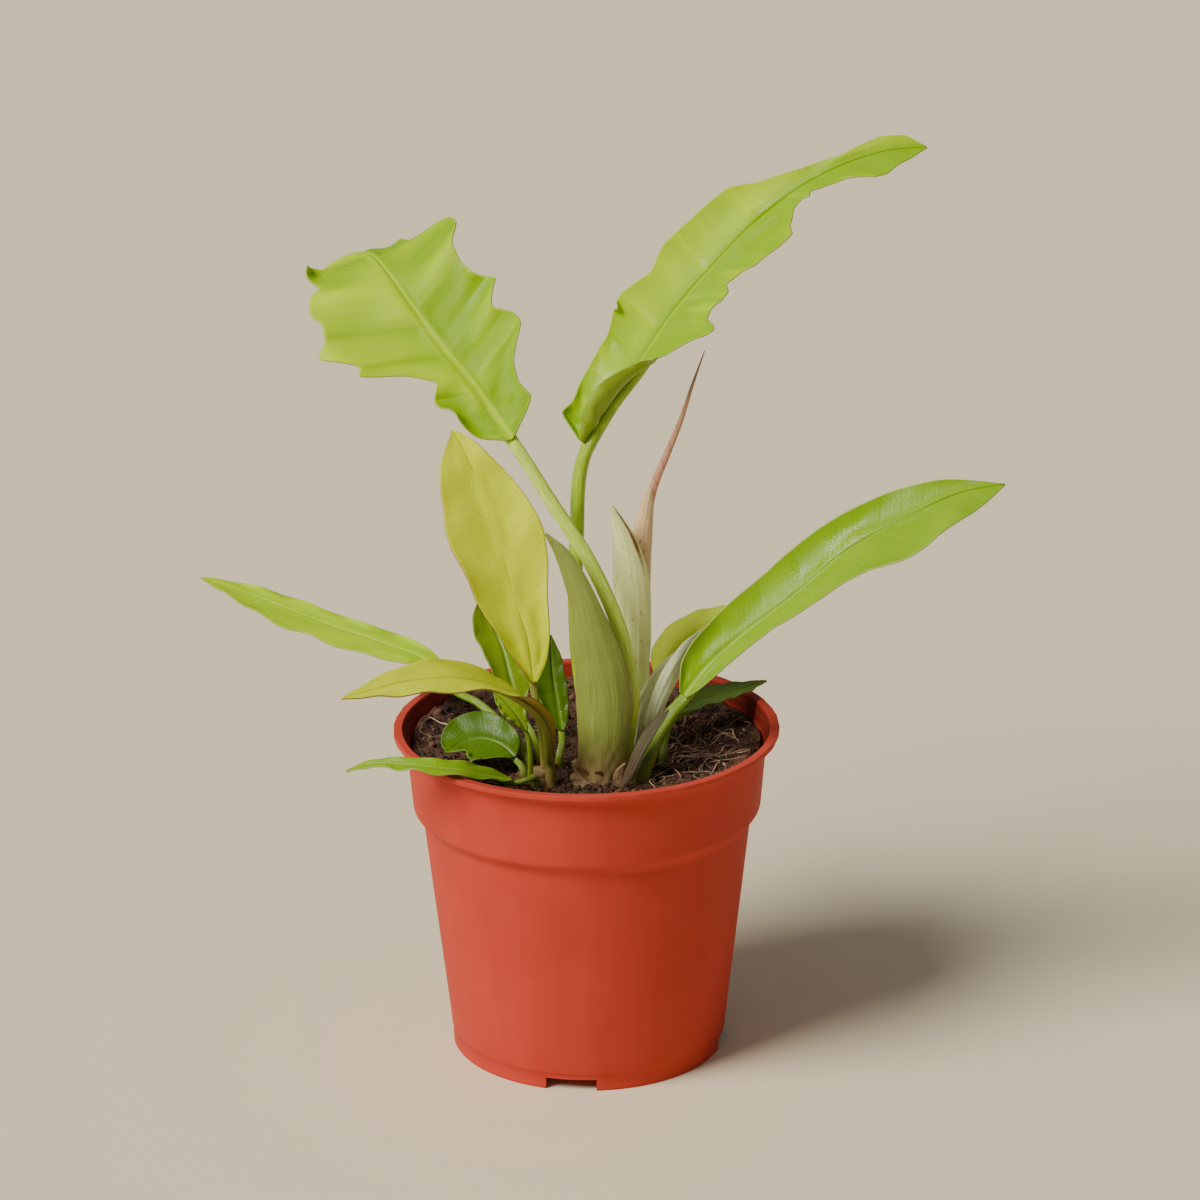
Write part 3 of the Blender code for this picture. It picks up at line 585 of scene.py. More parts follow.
def midrib(spine, facing, share):
    """Along the midrib: places, direction forward, direction the upper face looks, side."""
    middle = smooth_path(spine, share)
    forward = unit(np.gradient(middle, axis=0))
    looks = np.stack([np.interp(share, [f[0] for f in facing], [f[1][i] for f in facing])
                      for i in range(3)], axis=1)
    up = unit(looks - np.sum(looks * forward, axis=1, keepdims=True) * forward)
    return middle, forward, up, np.cross(forward, up)


def sheet_points(share, columns, spine, left, right, facing, cup, sweep, reach, cup_right=None,
                 curls=()):
    """A blade's places in mm, rows along the midrib and columns across it; shares and half-widths.

    The midrib follows spine. left and right give (share along the midrib, half-width). From the
    midrib outwards each half turns up towards facing by cup radians in all, and leans forward
    by sweep times its width. facing lists (share, direction that the upper face looks).
    cup_right gives the right half its own (share, radians). A curl (side, share, reach, start,
    radians) turns the margin further, from the share start of the half-width outwards.
    """
    middle, forward, up, side = midrib(spine, facing, share)
    near = np.linspace(0, 1, columns // 2 + 1) ** 1.15
    even = list(zip(np.linspace(0, 1, len(cup)), cup))
    halves = []
    for way, widths, bends in ((-1, left, even), (1, right, cup_right or even)):
        bend = rounded(share, bends, 0.04)[:, None] * near
        for which, at, spread_, start, more in curls:
            if which == way:
                bend = bend + (more * np.exp(-((share - at) / spread_) ** 2)[:, None]
                               * np.clip((near - start) / (1 - start), 0, 1) ** 1.3)
        step = np.diff(near)
        mean = lambda f: np.concatenate([np.zeros((len(share), 1)), np.cumsum(
            (f[:, 1:] + f[:, :-1]) / 2 * step, axis=1)], axis=1)
        half = rounded(share, widths, reach)[:, None]
        out, rise = half * mean(np.cos(bend)), half * mean(np.sin(bend))
        places = (middle[:, None] + side[:, None] * (way * out)[..., None]
                  + up[:, None] * rise[..., None]
                  + forward[:, None] * (sweep * half * near)[..., None])
        halves.append((places, half * near, near + 0 * half))
    (lp, lo, ln), (rp, ro, rn) = halves
    return (np.concatenate([lp[:, :0:-1], rp], 1), np.concatenate([-ln[:, :0:-1], rn], 1),
            np.concatenate([lo[:, :0:-1], ro], 1))


def normals(points):
    """The direction square to a grid of points at each of them, on its upper side."""
    return unit(np.cross(np.gradient(points, axis=1), np.gradient(points, axis=0)))


def to_plant(points):
    """From millimetres about the pot's axis above the soil line to metres in the pot's frame."""
    return np.asarray(points, float) * MM + np.array([0, 0, SOIL_LINE])


def thicken(obj, thickness, second=True):
    """Gives a sheet its thickness below its upper face, with the next material underneath."""
    solid = obj.modifiers.new("thickness", "SOLIDIFY")
    solid.thickness = thickness
    solid.offset = 0
    solid.use_even_offset = False
    solid.material_offset = solid.material_offset_rim = 1 if second else 0


def lit_through(shader, share, reach=LEAF_LIGHT):
    """Lets share of the light into the tissue."""
    give(shader, Subsurface_Weight=share, Subsurface_Radius=reach, Subsurface_Scale=0.002)


def blade_look(name, crest, valley, rib, edge, gloss=0.34, glow=0.12, freckle=0.0, shine=0.3):
    """Leaf tissue: crests painted paler than valleys as light and shade, a rib edged with
    painted shade, thin lateral veins, cells that sparkle.

    tone is 0 in valleys and 1 on crests and carries the blade's painted light and
    shade; phase counts the lateral veins; rib is 1 on the midrib's line and 0 at its edge; edge
    is 0 at the midrib and 1 at the margin. gloss is the roughness, which drops to a third in
    wet-looking patches.
    """
    made, tree, shader, place = new_look(name)
    tone, phase, ribbed, margin = (attribute(tree, key) for key in ("tone", "phase", "rib", "edge"))
    clouds = noise(place, 55.0, 3.0)
    cells = noise(place, 1500.0, 2.0)
    # Painted light and shade: crests take the lighter colour, valleys the darker one.
    body = blend(spread(tone, 0.1, 0.9), valley, crest)
    body = blend(spread(clouds, 0.4, 0.75, 0, 0.35), body, valley)
    vein = spread(times(phase, 1.0, "PINGPONG"), 0.0, 0.10, 1, 0)
    small = spread(times(times(phase, 8.0), 1.0, "PINGPONG"), 0.0, 0.5, 1, 0)
    body = blend(times(small, 0.05), body, crest)
    body = blend(times(vein, spread(margin, 0.3, 1.0, 0.30, 0.05)), body, rib)
    # Painted shade: a darker band along each side of the midrib, as in a groove.
    side = times(spread(ribbed, 0.0, 0.3), spread(ribbed, 0.35, 0.6, 1, 0))
    body = blend(times(side, 0.45), body, valley)
    body = blend(times(spread(ribbed, 0.35, 0.6), 0.8), body, rib)
    body = blend(spread(margin, 0.965, 0.99, 0, 0.6), body, edge)
    if freckle:
        spots = spread(noise(place, 420.0, 2.0), 0.66, 0.72, 0, freckle)
        body = blend(spots, body, (0.30, 0.15, 0.06))
    wet = spread(noise(place, 42.0, 1.0), 0.56, 0.62, 1.0, 0.32)
    dull = spread(cells, 0.35, 0.7, gloss - 0.09, gloss + 0.12)
    give(shader, Base_Color=body, Roughness=times(dull, wet), Specular_IOR_Level=shine)
    lit_through(shader, glow)
    raise_by(shader, times(times(cells, 0.35), times(small, 0.06), "ADD"), 0.0005, 0.6)
    return made


def blade(name, looks, spine, left, right, facing, cup=(0.4, 0.3), sweep=0.1, rows=90, columns=40,
          veins=7.0, lean=(0.3, 0.3), start=(0.5, 0.5), fold=0.1, creases=(), groove=0.35, rib=1.0,
          ruffle=0.3, waves=5.0, seed=1, tones=(0, 0), reach=0.05, cup_right=None, curls=(),
          hills=0.5, shade=0.0, crumple=0.0):
    """One leaf blade with its relief.

    Pillows stand up between the lateral veins: fold times |sin| of the vein count. A crease
    (side, share, height, spread) is a ridge or valley along one lateral vein, a peak that
    falls away exponentially. The midrib is a groove, the margin waves, small hills cover it.
    crumple puckers the foot of the blade, where it opened last, and paints shade on it;
    shade paints shade on the strip beside the midrib, and tones paints light (above 0) and
    shade (below 0) on the left and the right half. The relief is also painted lighter on crests
    and darker in valleys.
    """
    share = np.linspace(0, 1, rows + 1)
    points, across, off = sheet_points(share, columns, spine, left, right, facing, cup, sweep,
                                       reach, cup_right, curls)
    length = np.sum(gaps(smooth_path(spine, share)))
    near, along = np.abs(across), share[:, None]
    right_half = (across > 0).astype(int)
    lean, start, tones = (np.array(v, float)[right_half] for v in (lean, start, tones))
    lateral = along - lean * off / length * (1 - 0.35 * near)
    phase = veins * lateral - start
    rise_in = (np.clip(off / 3.0, 0, 1) * np.clip((1 - along) / 0.12, 0, 1)
               * np.clip(along / 0.03, 0, 1))
    relief = fold * (np.abs(np.sin(math.pi * phase)) ** 0.8 - 0.5)
    for way, at, height, wide in creases:
        reach_out = np.exp(-np.abs(lateral - at) / wide) * (np.sign(across) == way)
        relief = relief + height * reach_out * (0.4 + 0.6 * near)
    wave = np.sin(2 * math.pi * waves * lateral + 1.7 * seed + right_half * 2)
    relief = relief + ruffle * near**3 * wave
    # Painted shade: the puckered foot of the blade is also darkened in the colour below.
    foot = crumple * np.exp(-along / 0.13) + 0 * off
    relief = relief + foot * uneven(along * length / 3.2 + seed, across * 3.5 + 12, seed + 70)
    hill = uneven(along * length / 9 + 3 * seed, across * 1.6 + 20, seed)
    relief = (relief + hills * hill) * rise_in
    width = rib * (1.05 - along)
    # Painted light and shade: lighter on crests and darker in valleys, each half painted lighter or
    # darker, painted shade beside the midrib and at the puckered foot.
    tone = np.clip(0.5 + 0.45 * relief + tones - shade * np.exp(-off / 4.0) - 0.9 * foot, 0, 1)
    relief = relief - groove * np.exp(-(off / (0.75 * width + 0.15)) ** 2)
    points = points + normals(points) * relief[..., None]
    marks = {"tone": tone, "phase": phase + 40, "rib": np.clip(1 - off / (1.6 * width + 0.1), 0, 1),
             "edge": near}
    piece = lay(name + "_leaf", to_plant(points), looks, marks=marks)
    thicken(piece, BLADE_THICKNESS * MM)
    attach(piece, "root")
    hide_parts(name + "_blade")
    return piece


def tube(name, points, up, radius, look, flat):
    """A round rod along points: its ring is drawn about the path, flattened towards up.

    The radius at angle a from up is r (1 - flat max(0, cos a) squared). The ends are pinched
    shut.
    """
    forward = unit(np.gradient(points, axis=0))
    over = unit(up - np.sum(up * forward, axis=1, keepdims=True) * forward)
    side = np.cross(forward, over)
    turn = np.linspace(0, 2 * math.pi, STALK_SIDES, endpoint=False)
    ring = radius[:, None] * (1 - flat * np.maximum(0, np.cos(turn)) ** 2)
    places = (points[:, None] + over[:, None] * (ring * np.cos(turn))[..., None]
              + side[:, None] * (ring * np.sin(turn))[..., None])
    along = np.r_[0, np.cumsum(gaps(points))]
    ends = [np.repeat(end[:, None], STALK_SIDES, 1) for end in (points[:1], points[-1:])]
    places = np.concatenate([ends[0], places, ends[1]])
    along = np.r_[along[0], along, along[-1]]
    marks = {"along": along[:, None] + 0 * turn, "around": np.sin(turn) + 0 * along[:, None]}
    piece = lay(name, to_plant(places), [look], closed_columns=True, marks=marks, flip=True)
    weld(piece, 2e-7)
    return piece


def lengthwise(across, along, narrow, slow, scale):
    """Noise drawn out along a piece: it changes fast across it and slowly along it."""
    strip = node(across.id_data, "ShaderNodeCombineXYZ", X=times(across, narrow),
                 Y=times(along, slow))
    return noise(strip.outputs[0], scale)


def stalk_look(name, body, dark, pale, gloss=0.28, blush=None):
    """Smooth glossy stalk: fine lengthwise streaks, pale flecks painted as highlights, a darker
    foot.
    """
    made, tree, shader, place = new_look(name)
    along, around = attribute(tree, "along"), attribute(tree, "around")
    streak = lengthwise(around, along, 5.0, 0.06, 2.5)
    colour = blend(spread(streak, 0.35, 0.65), dark, body)
    # Painted highlights: pale flecks, as glints on the gloss.
    painted_glints = noise(stretched(place, (1, 1, 0.3)), 900.0, 2.0)
    colour = blend(spread(painted_glints, 0.63, 0.75, 0, 0.4), colour, pale)
    colour = blend(spread(along, 2.0, 12.0, 0.75, 0), colour, blush or dark)
    give(shader, Base_Color=colour, Roughness=gloss)
    lit_through(shader, 0.15)
    raise_by(shader, streak, 0.0006, 0.5)
    return made


def stalk(name, look, foot, radii, spine, facing, sunk):
    """The stalk from its foot to the blade, and on beneath the midrib as a fading keel."""
    fine = np.linspace(0, 1, 201)
    middle, _, up, _ = midrib(spine, facing, fine)
    fading = np.clip(1 - fine / KEEL_SHARES[-1], 0, 1)[:, None]
    under = middle - up * (BLADE_THICKNESS / 2 + sunk + 0.8 * radii[1] * fading)
    rows = np.round(KEEL_SHARES * 200).astype(int)
    way = np.vstack([np.array([foot[0]]) - [[0, 0, 5]], foot, under[rows]])
    passed = np.r_[0, np.cumsum(gaps(way))]
    free = passed[len(foot) + 1] / passed[-1]
    share = np.linspace(0, 1, 110)
    path = smooth_path(way, share)
    on_blade = np.clip((share - free) / (1 - free), 0, 1)
    last = up[rows[-1]]
    looks = np.stack([np.interp(on_blade, [0, 1], [up[0][i], last[i]]) for i in range(3)], 1)
    radius = np.where(share < free, radii[0] + (radii[1] - radii[0]) * share / free,
                      radii[1] * (1 - on_blade) ** 0.8 + 0.08)
    radius = radius * (1 + FOOT_FLARE * np.exp(-share * passed[-1] / 6))
    piece = tube(name + "_petiole", path, looks, radius, look, 0.25)
    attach(piece, "root")
    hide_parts(name + "_stalk")


def leaf(name, looks, slot_name, foot, radii, stalk_tissue, **shape):
    """A blade, shaped as blade() says, and the stalk from foot that carries it."""
    blade(name, looks, **shape)
    stalk(name, stalk_tissue, foot, radii, shape["spine"], shape["facing"],
          shape.get("groove", 0.35))


lime = [blade_look("lime blade", (0.48, 0.67, 0.0), (0.22, 0.39, 0.0), (0.42, 0.60, 0.01),
                   (0.42, 0.56, 0.01), gloss=0.48, glow=0.10, shine=0.11),
        blade_look("lime underside", (0.33, 0.43, 0.03), (0.23, 0.33, 0.010), (0.18, 0.30, 0.01),
                   (0.3, 0.4, 0.05), gloss=0.5, glow=0.12)]
green = [blade_look("green blade", (0.26, 0.42, 0.012), (0.16, 0.31, 0.0), (0.30, 0.46, 0.04),
                    (0.30, 0.40, 0.06), gloss=0.36, glow=0.10, freckle=0.25, shine=0.14),
         blade_look("green underside", (0.26, 0.38, 0.04), (0.20, 0.32, 0.02), (0.14, 0.27, 0.01),
                    (0.3, 0.4, 0.06), gloss=0.45)]
dark = [blade_look("dark blade", (0.23, 0.33, 0.010), (0.12, 0.205, 0.0), (0.22, 0.36, 0.03),
                   (0.16, 0.24, 0.03), gloss=0.34, glow=0.06),
        blade_look("dark underside", (0.17, 0.26, 0.02), (0.11, 0.2, 0.01), (0.10, 0.18, 0.01),
                   (0.15, 0.22, 0.03), gloss=0.45, glow=0.08)]
yellow = [blade_look("yellowing blade", (0.70, 0.74, 0.020), (0.54, 0.61, 0.0), (0.66, 0.70, 0.03),
                     (0.60, 0.56, 0.06), gloss=0.40, glow=0.12, freckle=0.15, shine=0.18),
          blade_look("yellowing underside", (0.36, 0.28, 0.04), (0.27, 0.20, 0.02),
                     (0.24, 0.18, 0.03), (0.24, 0.12, 0.04), gloss=0.48)]
shaded = [blade_look("shaded blade", (0.11, 0.21, 0.004), (0.06, 0.13, 0.0), (0.16, 0.27, 0.02),
                     (0.12, 0.18, 0.02), gloss=0.40, glow=0.05, shine=0.22), dark[1]]
# Painted light: a lighter copy of the lime blade colours, for a leaf at the back that stands in
# shade.
pale = [blade_look("lit blade", (0.76, 0.92, 0.05), (0.56, 0.74, 0.02), (0.70, 0.84, 0.08),
                   (0.6, 0.7, 0.1), gloss=0.45, glow=0.12, shine=0.2), lime[1]]
# Painted light: a lighter copy of the lime stalk, for the stalk that faces the lamp.
lit_stalk = stalk_look("lit stalk", (0.72, 0.88, 0.14), (0.36, 0.56, 0.0), (0.85, 0.92, 0.35),
                          0.18)
lime_stalk = stalk_look("lime stalk", (0.40, 0.56, 0.02), (0.22, 0.38, 0.0), (0.55, 0.66, 0.20),
                        0.24)
green_stalk = stalk_look("green stalk", (0.25, 0.38, 0.010), (0.13, 0.24, 0.0), (0.44, 0.52, 0.10),
                         0.26, (0.22, 0.19, 0.04))
dull_stalk = stalk_look("short stalk", (0.28, 0.30, 0.03), (0.20, 0.20, 0.02), (0.44, 0.42, 0.12),
                        0.42, (0.24, 0.13, 0.05))

# Painted light and shade: the left half a little lighter, the right half darker, and painted shade
# at the foot.
leaf("lobed_left", lime, "lime_leaf",
     [(10.5, -21, 2), (12.2, -21.5, 12), (13.8, -21.8, 24), (11.2, -20, 42), (2.8, -14, 62.5),
      (-10.7, -6, 83)], (2.7, 1.9), lit_stalk, rows=250, columns=84,
     spine=[(-22, 0, 100), (-34.5, 12, 115), (-44.5, 20, 125.5), (-53, 29, 135), (-60, 39, 142),
            (-65.5, 50, 145), (-70, 61, 141.5), (-74, 68, 132), (-76, 71, 123)],
     left=[(0, 1.5), (.03, 8), (.08, 12.5), (.17, 12.5), (.22, 8.5), (.27, 15), (.292, 24),
           (.304, 27.5), (.31, 27), (.32, 23), (.335, 26.5), (.35, 30), (.375, 33.5), (.41, 29),
           (.47, 26.5), (.51, 28), (.56, 25), (.6, 20), (.635, 24), (.66, 23), (.69, 14.5),
           (.85, 10), (1, .3)],
     right=[(0, 1.5), (.015, 13), (.08, 12.5), (.12, 15), (.16, 24), (.2, 23.5), (.25, 19.5),
            (.285, 26.5), (.36, 21.5), (.42, 20), (.47, 21.5), (.5, 25), (.535, 26.5), (.57, 25.5),
            (.6, 20), (.64, 12), (.75, 11), (.88, 8), (1, .3)],
     facing=[(0, (-.1, -.85, .5)), (.5, (-.1, -.8, .6)), (.75, (0, -.4, .9)), (1, (.1, .3, .9))],
     cup=(.3, .3, .2, -.3, -.3), sweep=.35, veins=9.5, lean=(.3, -.1), start=(.11, .27), fold=.08,
     creases=[(1, .185, 1.1, .03), (1, .29, 1.2, .028), (1, .49, .8, .04), (1, .08, .6, .03),
              (1, .235, -.6, .02), (1, .34, -.5, .03), (-1, .15, -.7, .02), (-1, .28, -1.0, .014),
              (-1, .38, -.9, .014), (-1, .48, -.5, .012), (-1, .55, -.4, .015), (-1, .33, .6, .03),
              (-1, .43, .5, .03)],
     curls=[(-1, .648, .026, .72, 2.0), (-1, .1, .05, .55, 1.3), (1, .1, .05, .7, 1.0),
            (-1, .375, .02, .85, -.8)], tones=(.1, -.5), groove=.7, rib=1.5, ruffle=.35, waves=9,
     seed=2, reach=.010, hills=1.1, crumple=.7)
# Painted light and shade: the left half lighter, the right half darker, painted shade beside the
# midrib and at the foot.
leaf("lobed_right", lime, "lime_leaf",
     [(0, -18, 2), (0, -18, 13.5), (-2.8, -10, 38.5), (-2.7, -1, 68)], (2.7, 2.3), lime_stalk,
     rows=330, columns=84,
     spine=[(-.7, 6, 97), (6.5, 9, 108), (15.5, 12, 118.5), (28, 14, 136.5), (40.5, 15, 151),
            (53, 16, 164), (65.5, 17, 173.5), (78, 18, 180), (91, 19, 184), (104, 20, 185)],
     left=[(0, 2), (.01, 12), (.06, 11), (.1, 12.5), (.15, 14.5), (.2, 15.5), (.25, 18),
           (.28, 17.5), (.35, 13.5), (.4, 16.5), (.53, 15), (.58, 14), (.64, 9), (.73, 5), (.82, 3),
           (.9, 5), (.95, 4.5), (1, .3)],
     right=[(0, 2), (.03, 9), (.1, 12), (.17, 10), (.205, 13), (.218, 14.5), (.226, 12), (.26, 13),
            (.32, 17.5), (.34, 18.5), (.35, 17.5), (.356, 13), (.395, 13), (.43, 13), (.441, 12.5),
            (.446, 9.5), (.52, 14), (.6, 15.5), (.623, 15.5), (.633, 12), (.67, 6.5), (.7, 5.8),
            (.715, 7), (.722, 4.6), (.8, 7.5), (.85, 11.5), (.875, 11), (.95, 5), (1, .3)],
     facing=[(0, (-.85, -.45, .3)), (.17, (-.8, -.5, .35)), (.35, (-.45, -.75, .5)),
             (1, (-.35, -.6, .75))], cup=(.9, .8, .5, .5, .5, .5, .5),
     cup_right=[(0, 2.6), (.1, 2.6), (.16, 2.0), (.23, .8), (.3, .5), (1, .5)],
     curls=[(-1, .03, .04, .4, .9), (-1, .245, .008, .8, 2.2)], sweep=.25, veins=6.4,
     lean=(-.15, .9), start=(.87, .4),
     creases=[(-1, .29, 1.2, .014), (-1, .45, 1.0, .014), (-1, .6, 1.0, .014), (-1, .2, -.8, .03),
              (1, .25, -.5, .01), (-1, .37, -.4, .04), (-1, .52, -.4, .04), (1, .33, .9, .02),
              (1, .36, -.6, .008), (1, .44, .7, .015), (1, .46, -.5, .008)], groove=.5, rib=.7,
     ruffle=.35, waves=9, seed=3, tones=(.3, -.3), reach=.004, shade=.8, crumple=.8)
leaf("long_right", green, "green_leaf",
     [(17, -28.5, 2), (18.8, -27.5, 6), (21.5, -25, 12.3), (25.4, -23, 18.8)], (2.3, 1.9),
     green_stalk, rows=150, columns=56,
     spine=[(29.6, -22, 24.6), (37, -19, 33.3), (47, -17, 42), (63.5, -15, 54.5), (78.5, -14, 67.5),
            (96.5, -13, 78), (114.5, -12, 86), (127, -12, 88.3)],
     left=[(0, 1.5), (.04, 6.4), (.1, 8.5), (.25, 10.5), (.4, 12), (.6, 11), (.72, 10), (.83, 7),
           (.93, 2.6), (1, .3)],
     right=[(0, 1.5), (.05, 5), (.16, 6), (.3, 9), (.42, 10.5), (.55, 14.5), (.67, 20), (.74, 19.5),
            (.8, 16), (.93, 9), (1, .3)],
     facing=[(0, (-.5, -.8, .2)), (.3, (-.4, -.6, .7)), (1, (-.3, -.5, .8))], cup=(.8, .5),
     veins=16, lean=(.8, .8), fold=.06, groove=.5, rib=.9, ruffle=.35, waves=4, seed=4, reach=.03,
     crumple=.3)
leaf("upright", yellow, "yellow_leaf", [(-12.7, -20, 2), (-13.3, -20, 9.5), (-14.6, -19, 18.3)],
     (1.4, 1.1), dull_stalk, rows=120, columns=48,
     spine=[(-16, -18, 27.7), (-17.5, -15, 40), (-22, -10, 54.5), (-26, -4, 69.5), (-31, 2, 82.5),
            (-36.5, 7, 94), (-40, 10, 100)],
     left=[(0, 1), (.06, 4), (.2, 9), (.36, 13), (.5, 16), (.62, 16), (.78, 13), (.91, 8), (1, .3)],
     right=[(0, 1), (.05, 4), (.12, 6), (.23, 8.5), (.4, 12.5), (.55, 14), (.7, 11), (.83, 7),
            (.93, 4), (1, .3)],
     facing=[(0, (.2, -.9, .2)), (1, (.2, -.9, .4))], cup=(.5, .3), veins=13, lean=(.9, .9),
     fold=.05, groove=.12, rib=.3, ruffle=.5, waves=3, hills=.8, seed=5, reach=.04, crumple=.4)
leaf("dark_back", dark, "dark_leaf", [(-14.5, -13.5, 2), (-16.5, -11, 8)], (1.1, .9), green_stalk,
     spine=[(-20, -7, 14), (-23.5, -2, 24), (-25.5, 3, 30.5), (-28.5, 8, 36.5), (-32, 13, 45)],
     left=[(0, .8), (.2, 5), (.5, 7), (.75, 7), (.9, 4.5), (1, .3)],
     right=[(0, .8), (.2, 6), (.5, 8), (.75, 6), (.9, 3.5), (1, .3)],
     facing=[(0, (.3, -.9, .2))], cup=(.5, .3), seed=6)
leaf("yellow", yellow, "yellow_leaf", [(-11, -29, 2), (-11, -29, 5)], (1.5, 1.2), dull_stalk,
     rows=120, columns=40,
     spine=[(-11, -30, 9.5), (-12.3, -33, 20.4), (-18, -38, 29.4), (-25.4, -45, 36.2),
            (-37, -54, 42.7), (-54.5, -63, 45), (-71.5, -72, 43.6)],
     left=[(0, 1), (.2, 4), (.4, 7), (.58, 10), (.7, 9), (.85, 6), (1, .3)],
     right=[(0, 1), (.2, 4), (.37, 6), (.53, 9), (.65, 8), (.81, 5), (1, .3)],
     facing=[(0, (.35, .9, 0)), (.2, (.5, .75, .3)), (.33, (.6, .2, .7)), (.5, (.1, -.25, .95)),
             (1, (0, -.35, .9))], veins=12, lean=(.9, .9), fold=.05, groove=.4, rib=.8, seed=7,
     ruffle=.5)
leaf("dark_middle", shaded, "dark_leaf", [(-8.3, -14, 2), (-7.6, -12, 5)], (1.2, 1), green_stalk,
     spine=[(-7.6, -9, 8.6), (-9, -5, 17), (-10.5, 0, 26.5), (-11, 4, 35.3)],
     left=[(0, .8), (.15, 4.5), (.45, 6.5), (.75, 5), (1, .3)],
     right=[(0, .8), (.15, 3), (.45, 4), (.75, 3.5), (1, .3)],
     facing=[(0, (.1, -.9, .2))], cup=(.6, .4), seed=8)
# Painted light: a lighter copy of the blade colours, with both halves painted lighter still.
leaf("pale_back", pale, "lime_leaf", [(20, 7.5, 2), (21, 8, 10)], (1.3, 1), green_stalk,
     spine=[(22.5, 8, 17.8), (27, 11, 26), (34.3, 15, 32), (43.7, 19, 36), (52.2, 23, 38)],
     left=[(0, .8), (.12, 7), (.35, 9), (.6, 7), (.85, 3), (1, .3)],
     right=[(0, .8), (.12, 4), (.4, 7), (.7, 6), (.88, 3), (1, .3)],
     facing=[(0, (-.5, -.4, .8))], fold=.08, tones=(.4, .4), seed=9)
# Painted shade: both halves darker.
leaf("low_right", dark, "dark_leaf", [(23.5, -15, 2), (24.5, -11, 7)], (1.1, .9), green_stalk,
     spine=[(27.5, -5, 12), (36, 6, 12), (47, 18, 11), (57, 28, 10.5)],
     left=[(0, .6), (.15, 4), (.45, 6), (.75, 4), (1, .3)],
     right=[(0, .6), (.15, 3.5), (.45, 5), (.75, 3.5), (1, .3)],
     facing=[(0, (-.2, -.4, .9))], cup=(.5, .3), tones=(-.2, -.2), seed=10)
leaf("long_left", lime, "lime_leaf",
     [(-18, -20, 2), (-20.5, -15, 6.5), (-26, -8, 10.5), (-33, -1, 14.5)], (1.4, 1.2), green_stalk,
     rows=130,
     spine=[(-42, 7, 18), (-49, 15, 22.5), (-63, 28, 24), (-80, 42, 25), (-101, 57, 28),
            (-124.5, 73, 31)],
     left=[(0, .8), (.12, 6), (.3, 9), (.5, 9.5), (.66, 9), (.85, 5), (1, .3)],
     right=[(0, .8), (.12, 4), (.3, 5.5), (.45, 5), (.65, 5), (.8, 4.5), (.92, 2.5), (1, .3)],
     facing=[(0, (.1, -.5, .9)), (1, (.1, -.35, .95))], cup=(.3, .2), veins=14, lean=(1, 1),
     fold=.06, rib=.7, seed=11, reach=.04, ruffle=.5)
# Painted shade: a darker copy of the blade colours, with both halves darker still.
leaf("low_left", shaded, "dark_leaf", [(-19.3, -26.5, 2), (-20, -25.5, 3.5)], (1.1, .9),
     green_stalk,
     spine=[(-22, -24, 6), (-26, -20.5, 8.5), (-32, -17.5, 9.5), (-39, -18, 8.2), (-43, -21, 6.5)],
     left=[(0, 2), (.1, 8), (.3, 11), (.6, 11), (.85, 7), (.95, 3.5), (1, .4)],
     right=[(0, 1), (.15, 6), (.5, 9.5), (.75, 8.5), (.9, 5), (1, .4)],
     facing=[(0, (.1, -.5, .8)), (.5, (-.1, -.5, .85)), (1, (-.6, -.5, .5))], cup=(.4, .4),
     fold=.08, rib=.5, tones=(-.2, -.4), rows=110, columns=44, seed=12)
leaf("over_rim", green, "green_leaf", [(-15.5, -31, 2), (-18, -33, 2)], (1, .8), green_stalk,
     rows=110, columns=24,
     spine=[(-22.5, -34.5, 2.6), (-31.5, -39, 6.3), (-37.5, -41.5, 8.8), (-43.5, -42.5, 9.8),
            (-55.5, -41, 10.5), (-65, -38, 9.4), (-73, -35, 6)],
     left=[(0, .6), (.15, 3.8), (.4, 4.2), (.7, 3), (.9, 1.5), (1, .3)],
     right=[(0, .6), (.15, 3.4), (.4, 3.4), (.7, 2.5), (.9, 1.3), (1, .3)],
     facing=[(0, (0, -.3, .95))], rib=.6, seed=13, reach=.04, ruffle=.5)
leaf("tiny", dark, "dark_leaf", [(-17.2, -29.6, 2), (-17.2, -28.5, 9)], (.8, .7), green_stalk,
     rows=60, columns=20,
     spine=[(-18.4, -28, 16), (-21, -27, 20.7), (-24.6, -25.5, 24.5), (-28, -24, 27)],
     left=[(0, .5), (.25, 2.5), (.5, 4), (.8, 2.5), (1, .3)],
     right=[(0, .5), (.25, 2.5), (.5, 4), (.8, 2.5), (1, .3)],
     facing=[(0, (0, -.8, .6))], rib=.5, seed=14, ruffle=.5)

# --- Sheaths and the new leaf ------------------------------------------------------------
# Papery bud sheaths that wrapped the young leaves: pale green ones standing round the crown,
# dried tan ones, and a rolled pinkish new leaf. Each grows from the crown's edge.

SHEATH_THICKNESS = 0.4          # mm
COLLARS = 11                    # small dried scales round the foot of the larger crown
SPIKE_RADIUS = (1.8, 0.16)      # mm, below and at the tip


